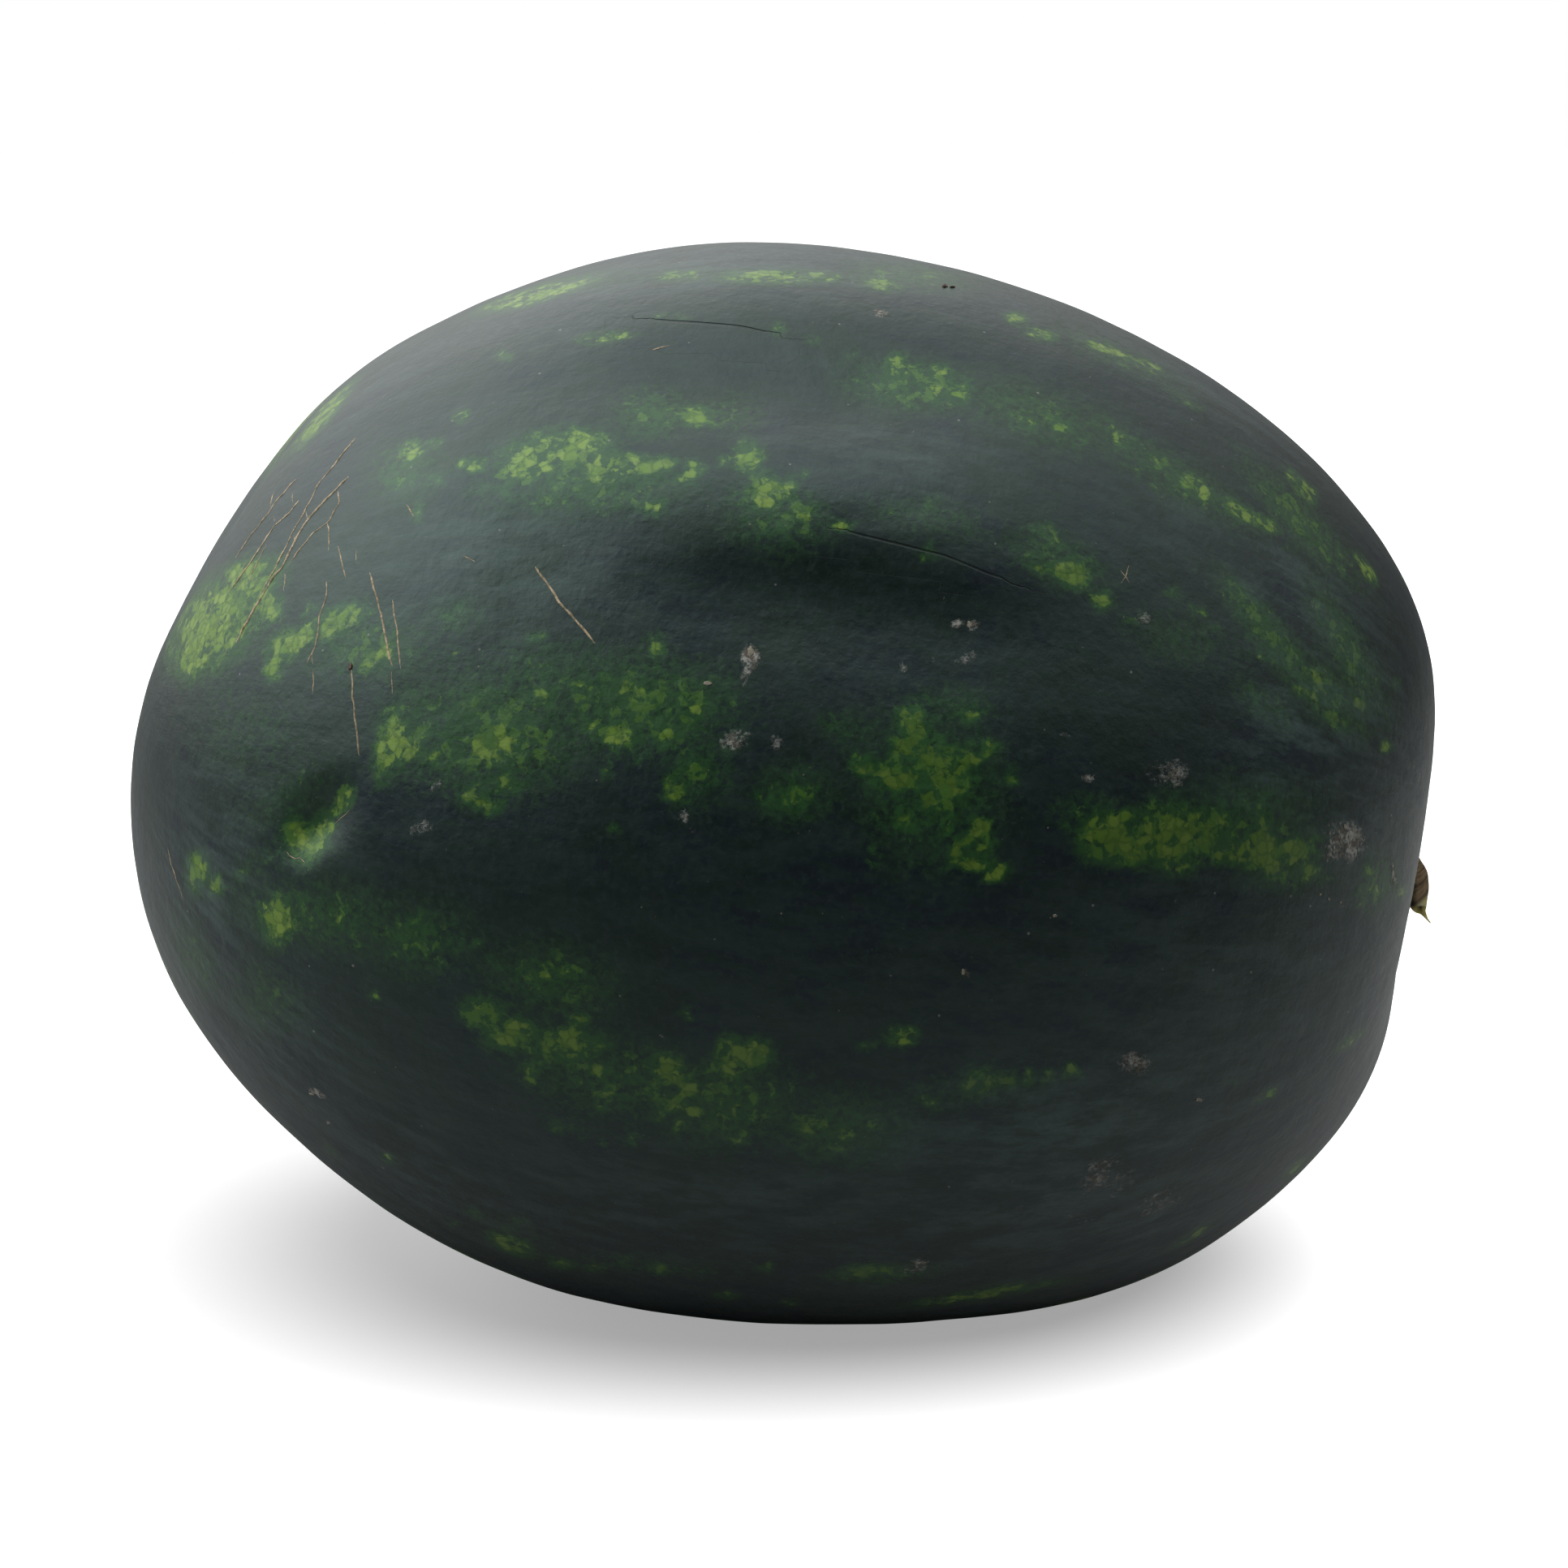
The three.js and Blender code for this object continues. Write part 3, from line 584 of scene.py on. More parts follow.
wander = 10 * noise_at(on_fruit, 0.06, 4) + 4 * noise_at(on_fruit, 0.02, 13)
stripes = np.zeros(len(skin_points))
for stripe in STRIPE_LONGITUDES:
    away = (longitude + wander - stripe + 180) % 360 - 180
    stripes = np.maximum(stripes, np.exp(-0.5 * (away / STRIPE_HALF_WIDTH) ** 2))
stripes *= 1 - fade(np.abs(latitude), 62, 84)
broken = 0.14 + 1.3 * noise_at(skin_points, 0.024, 2) + 0.9 * noise_at(skin_points, 0.009, 3)
hidden_pale = np.clip(stripes * broken, 0, 1)
hidden_green = np.clip(stripes * (0.45 + 0.9 * noise_at(skin_points, 0.03, 5)), 0, 0.65)
hidden_bloom = np.clip(0.35 + 0.6 * noise_at(skin_points, 0.06, 6), 0, 0.8)

crease = np.full(len(skin_points), NO_CREASE)
for line in CREASES:
    above, along = above_line(line)
    ends = CREASE_TAPER * (1 - fade(along, 0.0, 0.12)) + CREASE_TAPER * fade(along, 0.8, 1)
    near = (np.abs(above) < CREASE_REACH) & (facing > 0)
    crease = np.where(near, above + np.sign(above) * ends, crease)

from_axis = np.hypot(on_fruit[:, 1], on_fruit[:, 2])
stem_cork = np.exp(-0.5 * ((from_axis - STEM_RING) / STEM_RING_WIDTH) ** 2) * (on_fruit[:, 0] > 0)
blossom_cork = np.exp(-0.5 * (from_axis / BLOSSOM_SCAR) ** 2) * (on_fruit[:, 0] < 0)

pale_here = patches_on_skin(PALE_FLECKS)
round_flecks = 0.8 * patches_on_skin(PALE_FLECKS, 0.8, 2.6)
green_here = np.maximum(patches_on_skin(GREEN_PATCHES, 0.2, 1.6), round_flecks)
bloom_and_sheen_here = patches_on_skin(BLOOM_AND_SHEEN_PATCHES, 0, 1.5)
hidden_scurf = np.clip(2.2 * noise_at(skin_points, 0.011, 9) - 1.1, 0, 0.8)
for name, seen, hidden in [
    ("pale", pale_here, hidden_pale),
    ("green", green_here, hidden_green),
    ("bloom_and_sheen", bloom_and_sheen_here, hidden_bloom),
    # where the camera sees, this darkening is painted shade; on the other sides the flecks are evenly dulled
    ("fleck_dulling_and_shade", patches_on_skin(FLECK_SHADE_PATCHES, 0.7, 1.3), 0.4),
    ("scurf", patches_on_skin(SCURF_PATCHES, 0.4, 1.6, 5), hidden_scurf),
    ("crease", crease, NO_CREASE),
    ("cork", stem_cork + blossom_cork, stem_cork + blossom_cork),
]:
    store(skin, name, in_photo * seen + (1 - in_photo) * hidden)

meridian = np.radians(longitude)
streaks = np.stack([
    0.3 * np.radians(latitude) * 0.125, 0.1 * np.cos(meridian), 0.1 * np.sin(meridian),
], axis=1)
store(skin, "streak_place", streaks, "FLOAT_VECTOR", "vector")

skin_material, rind, rind_shader = new_finish("waxy_rind")
rind_place = add_node(rind, "ShaderNodeTexCoord").outputs["Object"]


def blend(tree, share, first, second):
    """Blends two colours and returns the result."""
    made = add_node(tree, "ShaderNodeMix", {0: share, 6: first, 7: second}, data_type="RGBA")
    return made.outputs[2]


def step_node(tree, value, low, high):
    """Goes smoothly from 0 to 1 as the value passes from low to high."""
    made = add_node(tree, "ShaderNodeMapRange", {
        "Value": value, "From Min": low, "From Max": high,
    }, interpolation_type="SMOOTHSTEP")
    return made.outputs["Result"]


def attribute_node(tree, name):
    """Reads one value that is stored on the points of the mesh."""
    return add_node(tree, "ShaderNodeAttribute", attribute_name=name).outputs["Fac"]


def noise_node(tree, place, size, detail, roughness):
    """Adds soft noise with lumps of a given size in metres, and returns its level."""
    made = add_node(tree, "ShaderNodeTexNoise", {
        "Vector": place, "Scale": 1 / size, "Detail": detail, "Roughness": roughness,
    })
    return made.outputs["Fac"]


def cell_node(place, size, disorder=1.0):
    """Adds cells of a given size in metres, and returns them and three random levels for each cell."""
    made = add_node(rind, "ShaderNodeTexVoronoi", {"Vector": place, "Scale": 1 / size, "Randomness": disorder})
    return made, add_node(rind, "ShaderNodeSeparateColor", {"Color": made.outputs["Color"]})


warp = add_node(rind, "ShaderNodeTexNoise", {
    "Vector": rind_place, "Scale": 1 / WARP_SIZE, "Detail": 3, "Roughness": 0.6,
})
warp_centred = add_node(rind, "ShaderNodeVectorMath", {
    0: warp.outputs["Color"], 1: (0.5, 0.5, 0.5),
}, operation="SUBTRACT")
warped = add_node(rind, "ShaderNodeVectorMath", {
    0: warp_centred.outputs["Vector"], 1: (CELL_WARP, CELL_WARP, CELL_WARP), 2: rind_place,
}, operation="MULTIPLY_ADD").outputs["Vector"]
streak_place = add_node(rind, "ShaderNodeAttribute", attribute_name="streak_place").outputs["Vector"]
_, cell_parts = cell_node(warped, CELL_SIZE, CELL_DISORDER)
_, crumb_parts = cell_node(warped, CRUMB_SIZE)
clumps = noise_node(rind, rind_place, 0.008, 2, 0.5)
mottle = noise_node(rind, warped, 0.0016, 4, 0.65)
cloud = noise_node(rind, rind_place, 0.02, 4, 0.6)
blotch = noise_node(rind, streak_place, 0.0045, 4, 0.7)
fine_streak = noise_node(rind, streak_place, 0.0015, 3, 0.6)

# Pale flecks stand in cells, with holes and green cells between them
spread = times(rind, cell_parts.outputs["Red"], 1.2, 0.17)
spread = times(rind, clumps, 0.9, math_node(rind, "SUBTRACT", spread, 0.45))
spread = times(rind, mottle, 1.1, math_node(rind, "SUBTRACT", spread, 0.55))
spread = math_node(rind, "SUBTRACT", spread, 0.25)
spread = times(rind, crumb_parts.outputs["Red"], 0.5, spread)
pale_level = times(rind, attribute_node(rind, "pale"), spread)
pale_share = step_node(rind, pale_level, 0.34, 0.66)
green_spread = times(rind, crumb_parts.outputs["Green"], 0.6, 0.05)
green_spread = times(rind, mottle, 1.6, green_spread)
green_level = times(rind, attribute_node(rind, "green"), green_spread)
green_share = step_node(rind, times(rind, pale_level, 0.7, green_level), 0.22, 0.95)
crumb_level = times(rind, cell_parts.outputs["Blue"], 0.85, -0.25)
crumb_level = times(rind, crumb_parts.outputs["Blue"], 0.35, crumb_level)
crumb_level = times(rind, crumb_level, times(rind, mottle, 1.4, 0.4))
crumb_share = step_node(rind, times(rind, attribute_node(rind, "green"), crumb_level), 0.36, 0.56)
cell_edges = add_node(rind, "ShaderNodeTexVoronoi", {
    "Vector": warped, "Scale": 1 / CELL_SIZE, "Randomness": CELL_DISORDER,
}, feature="DISTANCE_TO_EDGE")
edge_share = math_node(rind, "SUBTRACT", 1, step_node(rind, cell_edges.outputs["Distance"], 0.01, 0.2))

dark_rind = blend(rind, step_node(rind, cloud, 0.36, 0.64), BLUE_BLACK, GREEN_BLACK)
dark_rind = blend(rind, step_node(rind, blotch, 0.35, 0.7), dark_rind, GREY_BLOTCH)
dark_rind = blend(rind, times(rind, step_node(rind, mottle, 0.45, 0.72), 0.7), dark_rind, GREY_MOTTLE)
dark_rind = blend(rind, times(rind, step_node(rind, fine_streak, 0.48, 0.7), 0.6), dark_rind, GREEN_STREAK)
green_rind = blend(rind, mottle, DEEP_GREEN, MID_GREEN)
pale_rind = blend(rind, cell_parts.outputs["Green"], FLECK_GREEN, FLECK_YELLOW)
# Painted shade darkens the flecks where they lie in shade; out of view they are evenly dulled
pale_rind = blend(rind, times(rind, attribute_node(rind, "fleck_dulling_and_shade"), 0.66), pale_rind, FLECK_DULLED_AND_SHADED)
pale_rind = blend(rind, times(rind, edge_share, 0.5), pale_rind, FLECK_EDGE)
rind_colour = blend(rind, times(rind, green_share, 0.9), dark_rind, green_rind)
rind_colour = blend(rind, times(rind, crumb_share, 0.75), rind_colour, BRIGHT_CRUMB)
rind_colour = blend(rind, pale_share, rind_colour, pale_rind)

# A grey-blue bloom in streaks over it, partly painted sheen, then dry crusts, dust, painted shade
# along the creases and the corky ends
# Painted sheen: the bloom's grey-blue also lies where light reflects along the top, the swelling and low down
bloom_and_sheen_level = times(rind, times(rind, mottle, 1.6, 0.1), attribute_node(rind, "bloom_and_sheen"))
bloom_and_sheen_streaks = times(rind, step_node(rind, blotch, 0.42, 0.64), 0.46, 0.02)
rind_colour = blend(rind, times(rind, bloom_and_sheen_level, bloom_and_sheen_streaks), rind_colour, BLOOM_AND_SHEEN_BLUE)
crust_grain = noise_node(rind, rind_place, 0.0011, 4, 0.75)
scurf_level = times(rind, attribute_node(rind, "scurf"), times(rind, crust_grain, 2.6, -0.5))
scurf_level = times(rind, scurf_level, times(rind, clumps, 2.2, -0.1))
scurf_share = step_node(rind, scurf_level, 0.3, 0.75)
crust_colour = blend(rind, step_node(rind, mottle, 0.4, 0.62), CRUST_BROWN, CRUST_WHITE)
rind_colour = blend(rind, times(rind, scurf_share, 0.8), rind_colour, crust_colour)
dust, dust_parts = cell_node(rind_place, DUST_SPACING)
dust_size = times(rind, dust_parts.outputs["Red"], 0.16, -0.09)
dust_share = step_node(rind, math_node(rind, "SUBTRACT", dust_size, dust.outputs["Distance"]), -0.02, 0.02)
rind_colour = blend(rind, times(rind, dust_share, 0.55), rind_colour, DUST_WHITE)
fine_dust, fine_dust_parts = cell_node(warped, FINE_DUST_SPACING)
fine_dust_size = times(rind, clumps, 0.14, times(rind, fine_dust_parts.outputs["Red"], 0.3, -0.28))
fine_dust_inside = math_node(rind, "SUBTRACT", fine_dust_size, fine_dust.outputs["Distance"])
fine_dust_share = step_node(rind, fine_dust_inside, -0.03, 0.05)
rind_colour = blend(rind, times(rind, fine_dust_share, 0.45), rind_colour, DUST_BROWN)
# Painted shade: a dark line along each crease, which the bump also sinks as a groove
crease_away = math_node(rind, "ABSOLUTE", attribute_node(rind, "crease"))
crease_groove_and_shade = math_node(rind, "SUBTRACT", 1, step_node(rind, crease_away, 0.0001, 0.00032))
rind_colour = blend(rind, times(rind, crease_groove_and_shade, 0.6), rind_colour, CREASE_PAINTED_SHADE)
cork_level = times(rind, attribute_node(rind, "cork"), times(rind, mottle, 1.2, 0.4))
cork_share = step_node(rind, cork_level, 0.3, 0.7)
rind_colour = blend(rind, cork_share, rind_colour, END_CORK)
rind.links.new(rind_colour, rind_shader.inputs["Base Color"])
rind_shader.inputs["Specular IOR Level"].default_value = 0.6
rind_shader.inputs["Specular Tint"].default_value = WAX_GLINT

dry_share = math_node(rind, "MAXIMUM", scurf_share, cork_share)
wax_roughness = times(rind, mottle, 0.2, 0.3)
rind.links.new(times(rind, dry_share, 0.4, wax_roughness), rind_shader.inputs["Roughness"])
orange_peel = noise_node(rind, rind_place, 0.0013, 3, 0.55)
leather = noise_node(rind, warped, 0.0045, 3, 0.5)
height = times(rind, leather, LEATHER_HEIGHT, times(rind, orange_peel, PEEL_HEIGHT))
height = times(rind, fine_streak, STREAK_HEIGHT, height)
height = times(rind, crease_groove_and_shade, -CREASE_DEPTH, height)
height = times(rind, dry_share, CRUST_HEIGHT, height)
rind_bump = add_node(rind, "ShaderNodeBump", {"Height": height, "Distance": 1.0, "Strength": 1.0})
rind.links.new(rind_bump.outputs["Normal"], rind_shader.inputs["Normal"])

skin.data.materials.clear()
skin.data.materials.append(skin_material)
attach(skin, "root")
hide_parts("melon")


# The stalk's stub
# A short dry end of the fruit's stalk, woody and ridged, that grows from a corky foot in the hollow
# at the stem end. It was torn off, so its end is ragged and hollow, with one long pale splinter.
STALK_FINENESS = 2
STALK_POLE = Vector((0.13, -0.00021, 0.0929))
STALK_TORN_END = Vector((0.1364, -0.00021, 0.08205))
STALK_TORN_TOWARD = Vector((-0.097, 0, -0.995))
FOOT_RISE = 0.0011
FOOT_LENGTH = 0.0011
STALK_GRAIN = 0.00018
STALK_BROWN = (0.075, 0.045, 0.022, 1)
STALK_TAN = (0.36, 0.26, 0.14, 1)
STALK_WORN = (0.42, 0.33, 0.19, 1)
FOOT_CORK = (0.2, 0.16, 0.09, 1)
TORN_WOOD = (0.58, 0.54, 0.2, 1)
TORN_WOOD_PALE = (0.86, 0.8, 0.42, 1)
# Painted shade in the torn end's hole and on the end's side toward the fruit
HOLLOW_PAINTED_SHADE = (0.014, 0.008, 0.004, 1)

stub = dressed_copy("stem", "stalk_stub", STALK_FINENESS)
stub_points = mesh_array(stub.data.vertices, "co")
stub_normals = mesh_array(stub.data.vertex_normals, "vector")
on_stub = (stub_points - np.array(STALK_POLE)) @ fruit_turn.T
foot = np.exp(-0.5 * ((on_stub[:, 0] - 0.0004) / FOOT_LENGTH) ** 2) * (on_stub[:, 0] < 0.003)
past_end = (stub_points - np.array(STALK_TORN_END)) @ np.array(STALK_TORN_TOWARD)
from_end_axis = np.linalg.norm(
    stub_points - np.array(STALK_TORN_END) - past_end[:, None] * np.array(STALK_TORN_TOWARD), axis=1)
around = np.arctan2(on_stub[:, 2], on_stub[:, 1])
along_stub = on_stub[:, 0] - on_stub[:, 2]
fibre_place = np.stack([along_stub * 0.25, 0.003 * np.cos(around), 0.003 * np.sin(around)], axis=1)
grain = STALK_GRAIN * noise_at(fibre_place, 0.0009, 11) * fade(on_stub[:, 0], -0.001, 0.002)
stub_points = stub_points + stub_normals * (FOOT_RISE * foot + grain)[:, None]
place_points(stub, stub_points)

splinter = fade(past_end, 0.0008, 0.0024)
outward = stub_points[:, 0] - STALK_TORN_END.x
torn_rim = fade(past_end + 0.8 * outward, -0.0012, 0.0006) * fade(from_end_axis, 0.0016, 0.0022)
# Painted shade: dark in the hole of the torn end and on the end's side toward the fruit, below the bend
end_hollow_shade = (1 - fade(from_end_axis, 0.0012, 0.002)) * fade(past_end, -0.003, -0.002)
end_side_shade = 0.8 * fade(past_end, -0.0028, -0.0008) * (1 - fade(outward, -0.0008, 0.001))
end_hollow_shade = np.maximum(end_hollow_shade, end_side_shade) * (1 - splinter)
store(stub, "pale_wood", np.maximum(splinter, 0.85 * torn_rim))
store(stub, "end_hollow_shade", end_hollow_shade)
store(stub, "foot", foot)
store(stub, "fibre_place", fibre_place, "FLOAT_VECTOR", "vector")

stub_material, wood, wood_shader = new_finish("dry_stalk")
wood_place = add_node(wood, "ShaderNodeAttribute", attribute_name="fibre_place").outputs["Vector"]
fibres = noise_node(wood, wood_place, 0.0006, 4, 0.65)
broad_fibres = noise_node(wood, wood_place, 0.002, 3, 0.6)
wood_colour = blend(wood, step_node(wood, fibres, 0.35, 0.68), STALK_BROWN, STALK_TAN)
wood_colour = blend(wood, step_node(wood, broad_fibres, 0.5, 0.7), wood_colour, STALK_WORN)
wood_colour = blend(wood, times(wood, attribute_node(wood, "foot"), 0.7), wood_colour, FOOT_CORK)
torn_wood = blend(wood, fibres, TORN_WOOD, TORN_WOOD_PALE)
wood_colour = blend(wood, attribute_node(wood, "pale_wood"), wood_colour, torn_wood)
# Painted shade in the torn end's hole and below the bend
wood_colour = blend(wood, attribute_node(wood, "end_hollow_shade"), wood_colour, HOLLOW_PAINTED_SHADE)
wood.links.new(wood_colour, wood_shader.inputs["Base Color"])
wood_shader.inputs["Roughness"].default_value = 0.75
torn_glow = times(wood, attribute_node(wood, "pale_wood"), 0.8)
wood.links.new(torn_glow, wood_shader.inputs["Subsurface Weight"])
wood_shader.inputs["Subsurface Radius"].default_value = (1, 0.9, 0.4)
wood_shader.inputs["Subsurface Scale"].default_value = 0.0015
wood_bump = add_node(wood, "ShaderNodeBump", {
    "Height": times(wood, fibres, 0.0003), "Distance": 1.0, "Strength": 1.0,
})
wood.links.new(wood_bump.outputs["Normal"], wood_shader.inputs["Normal"])
stub.data.materials.clear()
stub.data.materials.append(stub_material)
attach(stub, "root")
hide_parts("stem")


# Healed scratches, and a painted highlight on the gouge's rim
# Long shallow scratches near the blossom end, which the fruit closed with a low ridge of tan cork.
# Each follows the skin along points read off the photograph, and most of it lies in the skin.
SCRATCH_STEP = 0.0008
SCRATCH_SINK = 0.2
SCRATCH_WOBBLE = 1.6
METRES_PER_PIXEL = 0.000175
CORK_AND_HIGHLIGHT_BROWN = (0.2, 0.17, 0.1, 1)
CORK_AND_HIGHLIGHT_TAN = (0.62, 0.48, 0.32, 1)
# Width in metres, and points in the photograph
SCRATCHES_AND_GOUGE_HIGHLIGHT = [
    (0.00045, [
        (440, 536), (431, 549), (412, 572), (395, 593), (376, 629), (360, 657), (341, 696), (318, 738),
    ]),
    (0.0006, [
        (432, 584), (416, 601), (392, 625), (373, 648), (357, 680), (348, 699), (330, 721), (313, 750),
        (287, 798),
    ]),
    (0.0004, [(416, 601), (418, 619), (405, 643), (386, 657), (367, 680), (351, 699)]),
    (0.00035, [(402, 640), (406, 652), (405, 666), (404, 684)]),
    (0.0005, [(370, 614), (357, 632), (338, 648), (322, 673), (306, 696), (290, 718), (279, 735)]),
    (0.0004, [(367, 587), (341, 616), (329, 635), (309, 660), (287, 692)]),
    (0.0004, [(402, 711), (402, 734), (394, 759), (388, 798), (375, 823)]),
    (0.00035, [(388, 798), (384, 807), (386, 823)]),
    (0.00035, [(416, 670), (421, 693), (427, 718)]),
    (0.00045, [(455, 702), (462, 728), (469, 756), (478, 801), (485, 829)]),
    (0.00035, [(483, 735), (490, 785), (494, 828)]),
    (0.0004, [(433, 820), (434, 845), (437, 880), (443, 937)]),
    (0.0005, [(657, 695), (672, 716), (690, 742), (715, 772), (738, 797)]),
    (0.00035, [(499, 619), (513, 641)]),
    (0.00035, [(566, 683), (590, 694)]),
    (0.0004, [(800, 432), (830, 424)]),
    (0.0003, [(205, 1040), (214, 1075), (228, 1115)]),
    (0.0003, [(1378, 700), (1388, 712), (1396, 724)]),
    (0.0003, [(1392, 694), (1386, 710), (1380, 722)]),
    # twigs that branch off
    (0.0003, [(331, 629), (335, 615), (341, 600)]),
    (0.0003, [(336, 632), (338, 640), (340, 649)]),
    (0.00025, [(362, 602), (361, 612), (361, 626)]),
    (0.0003, [(376, 627), (378, 636), (380, 646)]),
    (0.0003, [(361, 655), (362, 664), (364, 674)]),
    (0.0003, [(329, 667), (319, 688), (311, 706), (305, 722)]),
    (0.0003, [(350, 702), (351, 715), (350, 735)]),
    (0.00025, [(439, 672), (438, 684), (437, 698)]),
    (0.00025, [(482, 824), (483, 842), (484, 862)]),
    (0.00025, [(386, 820), (386, 840), (385, 862)]),
    # the rim of the gouge: pale strands that paint the highlight on its lower edge
    (0.00022, [(352, 1046), (356, 1054), (363, 1058), (370, 1057), (375, 1062), (380, 1066)]),
    (0.00016, [(387, 1057), (395, 1052), (403, 1048)]),
    (0.00016, [(410, 1017), (417, 1011), (425, 1004), (433, 995)]),
]


def point_on_skin(x, y):
    """Where a pixel of the photograph meets the skin, and the skin's normal there."""
    ray = camera_right * (x - PHOTO_SIZE / 2) + camera_up * (PHOTO_SIZE / 2 - y) - camera_back * photo_focus
    hit, place, normal, _ = skin.ray_cast(camera_place, ray.normalized())
    return (place, normal) if hit else (None, None)


strand_pieces = []
for width, line in SCRATCHES_AND_GOUGE_HIGHLIGHT:
    path = []
    for (x0, y0), (x1, y1) in zip(line, line[1:]):
        steps = max(2, round(math.hypot(x1 - x0, y1 - y0) * METRES_PER_PIXEL / SCRATCH_STEP))
        path += [(x0 + (x1 - x0) * step / steps, y0 + (y1 - y0) * step / steps) for step in range(steps)]
    path.append(line[-1])
    places = []
    for x, y in path:
        wobble = SCRATCH_WOBBLE * noise.noise(Vector((x * 0.06, y * 0.06, len(strand_pieces))))
        place, normal = point_on_skin(x + wobble, y)
        if place:
            places.append(place - normal * (SCRATCH_SINK * width))
    bpy.ops.object.select_all(action="DESELECT")
    bpy.ops.mesh.primitive_plane_add(size=width, location=places[0])
    bpy.ops.object.transform_apply(location=True)
    bpy.ops.object.mode_set(mode="EDIT")
    bpy.ops.mesh.select_mode(type="VERT")
    bpy.ops.mesh.select_all(action="SELECT")
    bpy.ops.mesh.merge(type="CENTER")
    for here, there in zip(places, places[1:]):
        bpy.ops.mesh.extrude_region_move(TRANSFORM_OT_translate={"value": there - here})
    bpy.ops.object.mode_set(mode="OBJECT")
    bpy.ops.object.convert(target="CURVE")
    ridge = bpy.context.object
    ridge.data.bevel_depth = width / 2
    ridge.data.bevel_resolution = 1
    ridge.data.use_fill_caps = True
    for point in ridge.data.splines[0].points:
        place = point.co.to_3d()
        step = min(range(len(places)), key=lambda number: (places[number] - place).length)
        ends = min(1, (step + 0.6) / 3, (len(places) - step - 0.4) / 4)
        point.radius = ends * (1 + 0.45 * noise.noise(place * 900))
    bpy.ops.object.convert(target="MESH")
    strand_pieces.append(bpy.context.object)
pick(*strand_pieces)
bpy.ops.object.join()
scratches_and_highlight = bpy.context.object
scratches_and_highlight.name = "healed_scratches_and_gouge_highlight"
bpy.ops.object.mode_set(mode="EDIT")
bpy.ops.mesh.select_all(action="SELECT")
bpy.ops.mesh.remove_doubles(threshold=1e-6)
bpy.ops.mesh.normals_make_consistent(inside=False)
bpy.ops.object.mode_set(mode="OBJECT")
bpy.ops.object.shade_smooth()

# The same tan also paints the highlight on the gouge's rim
cork_material, cork, cork_shader = new_finish("healed_cork_and_gouge_highlight")
cork_place = add_node(cork, "ShaderNodeTexCoord").outputs["Object"]
cork_grain = noise_node(cork, cork_place, 0.0011, 4, 0.7)
cork_and_highlight_colour = blend(cork, step_node(cork, cork_grain, 0.36, 0.66), CORK_AND_HIGHLIGHT_BROWN, CORK_AND_HIGHLIGHT_TAN)
cork.links.new(cork_and_highlight_colour, cork_shader.inputs["Base Color"])
cork_shader.inputs["Roughness"].default_value = 0.8
scratches_and_highlight.data.materials.clear()
scratches_and_highlight.data.materials.append(cork_material)
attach(scratches_and_highlight, "root")


# Specks on the skin
# A dark knot where a scratch starts, a red-brown crumb near the top, and dried whitish drops. All are
# thin crusts a millimetre or two across that stick to the skin, their lower half inside it.
# Each speck: x, y in the photograph, half length, half width, height in metres
DARK_SPECKS = [
    (432, 822, 0.0006, 0.0008, 0.0003), (1164, 353, 0.0009, 0.0006, 0.0005),
    (1173, 354, 0.0008, 0.0005, 0.0004),
]
PALE_SPECKS = [
    (1187, 1198, 0.0004, 0.0007, 0.0002), (1300, 1128, 0.0005, 0.0004, 0.0002),
    (1476, 1355, 0.0008, 0.0005, 0.0002), (1695, 1079, 0.0003, 0.0004, 0.0002),
    (1627, 1102, 0.0004, 0.0003, 0.0002), (1637, 1108, 0.0003, 0.0004, 0.0002),
    (1652, 1112, 0.0003, 0.0003, 0.0002), (925, 802, 0.0007, 0.0012, 0.0001),
    (871, 842, 0.0009, 0.0005, 0.0001), (1195, 770, 0.0006, 0.0007, 0.0001),
    (384, 1348, 0.0009, 0.0003, 0.0002), (1657, 1019, 0.0005, 0.0007, 0.0002),
]
SPECK_ROUGHNESS = 0.9
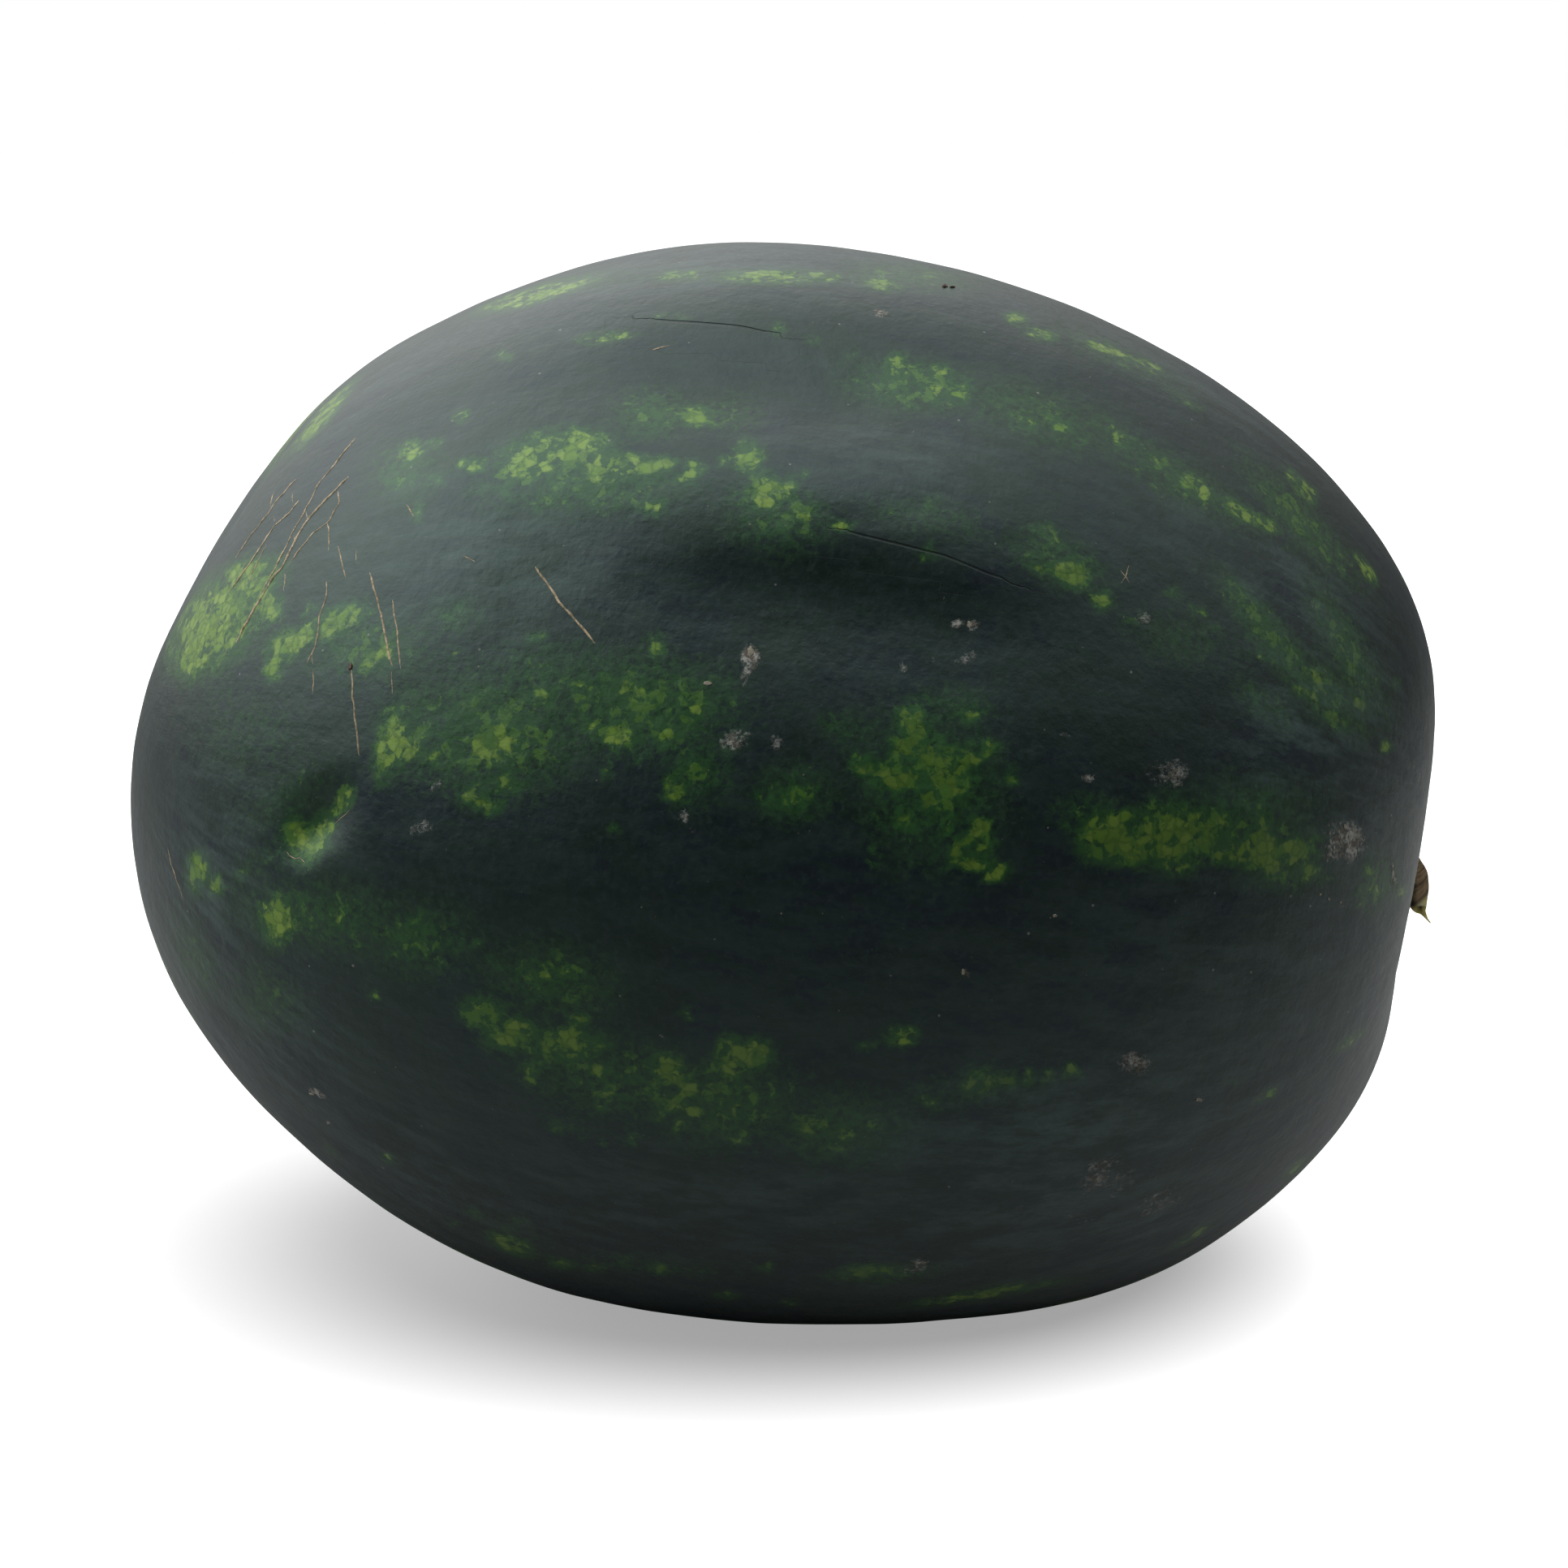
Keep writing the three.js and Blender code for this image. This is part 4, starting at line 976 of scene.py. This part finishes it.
SPECK_TURN = 2.1
KNOT_BLACK = (0.008, 0.005, 0.003, 1)
KNOT_BROWN = (0.12, 0.05, 0.026, 1)
DROP_GREY = (0.1, 0.1, 0.075, 1)
DROP_WHITE = (0.42, 0.38, 0.3, 1)
speck_pieces = []
for rows, name, grain_size, first, second, roughness in [
    (DARK_SPECKS, "dark_speck", 0.0007, KNOT_BLACK, KNOT_BROWN, 0.5),
    (PALE_SPECKS, "pale_speck", 0.0006, DROP_GREY, DROP_WHITE, 0.85),
]:
    speck_material, crust, crust_shader = new_finish(name)
    crust_place = add_node(crust, "ShaderNodeTexCoord").outputs["Object"]
    speck_grain = noise_node(crust, crust_place, grain_size, 3, 0.6)
    crust.links.new(blend(crust, speck_grain, first, second), crust_shader.inputs["Base Color"])
    crust_shader.inputs["Roughness"].default_value = roughness
    bpy.ops.object.select_all(action="DESELECT")
    bpy.ops.mesh.primitive_ico_sphere_add(subdivisions=3, radius=1, location=(0, 0, 0))
    crumb = bpy.context.object
    crumb.data.materials.append(speck_material)
    bpy.ops.object.mode_set(mode="EDIT")
    bpy.ops.mesh.select_all(action="SELECT")
    bpy.ops.transform.vertex_random(offset=SPECK_ROUGHNESS, uniform=0, normal=1, seed=4)
    bpy.ops.mesh.vertices_smooth(factor=0.5, repeat=3)
    bpy.ops.object.mode_set(mode="OBJECT")
    bpy.ops.object.shade_smooth()
    for number, (x, y, half_length, half_width, height) in enumerate(rows):
        place, normal = point_on_skin(x, y)
        pick(crumb)
        bpy.ops.object.duplicate()
        speck = bpy.context.object
        speck.rotation_euler.z = number * SPECK_TURN
        bpy.ops.object.transform_apply(rotation=True)
        speck.scale = (half_length, half_width, height)
        speck.rotation_euler = normal.to_track_quat("Z", "Y").to_euler()
        speck.location = place
        bpy.ops.object.transform_apply()
        speck_pieces.append(speck)
    pick(crumb)
    bpy.ops.object.delete()
pick(*reversed(speck_pieces))
bpy.ops.object.join()
specks = bpy.context.object
specks.name = "skin_specks"
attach(specks, "root")
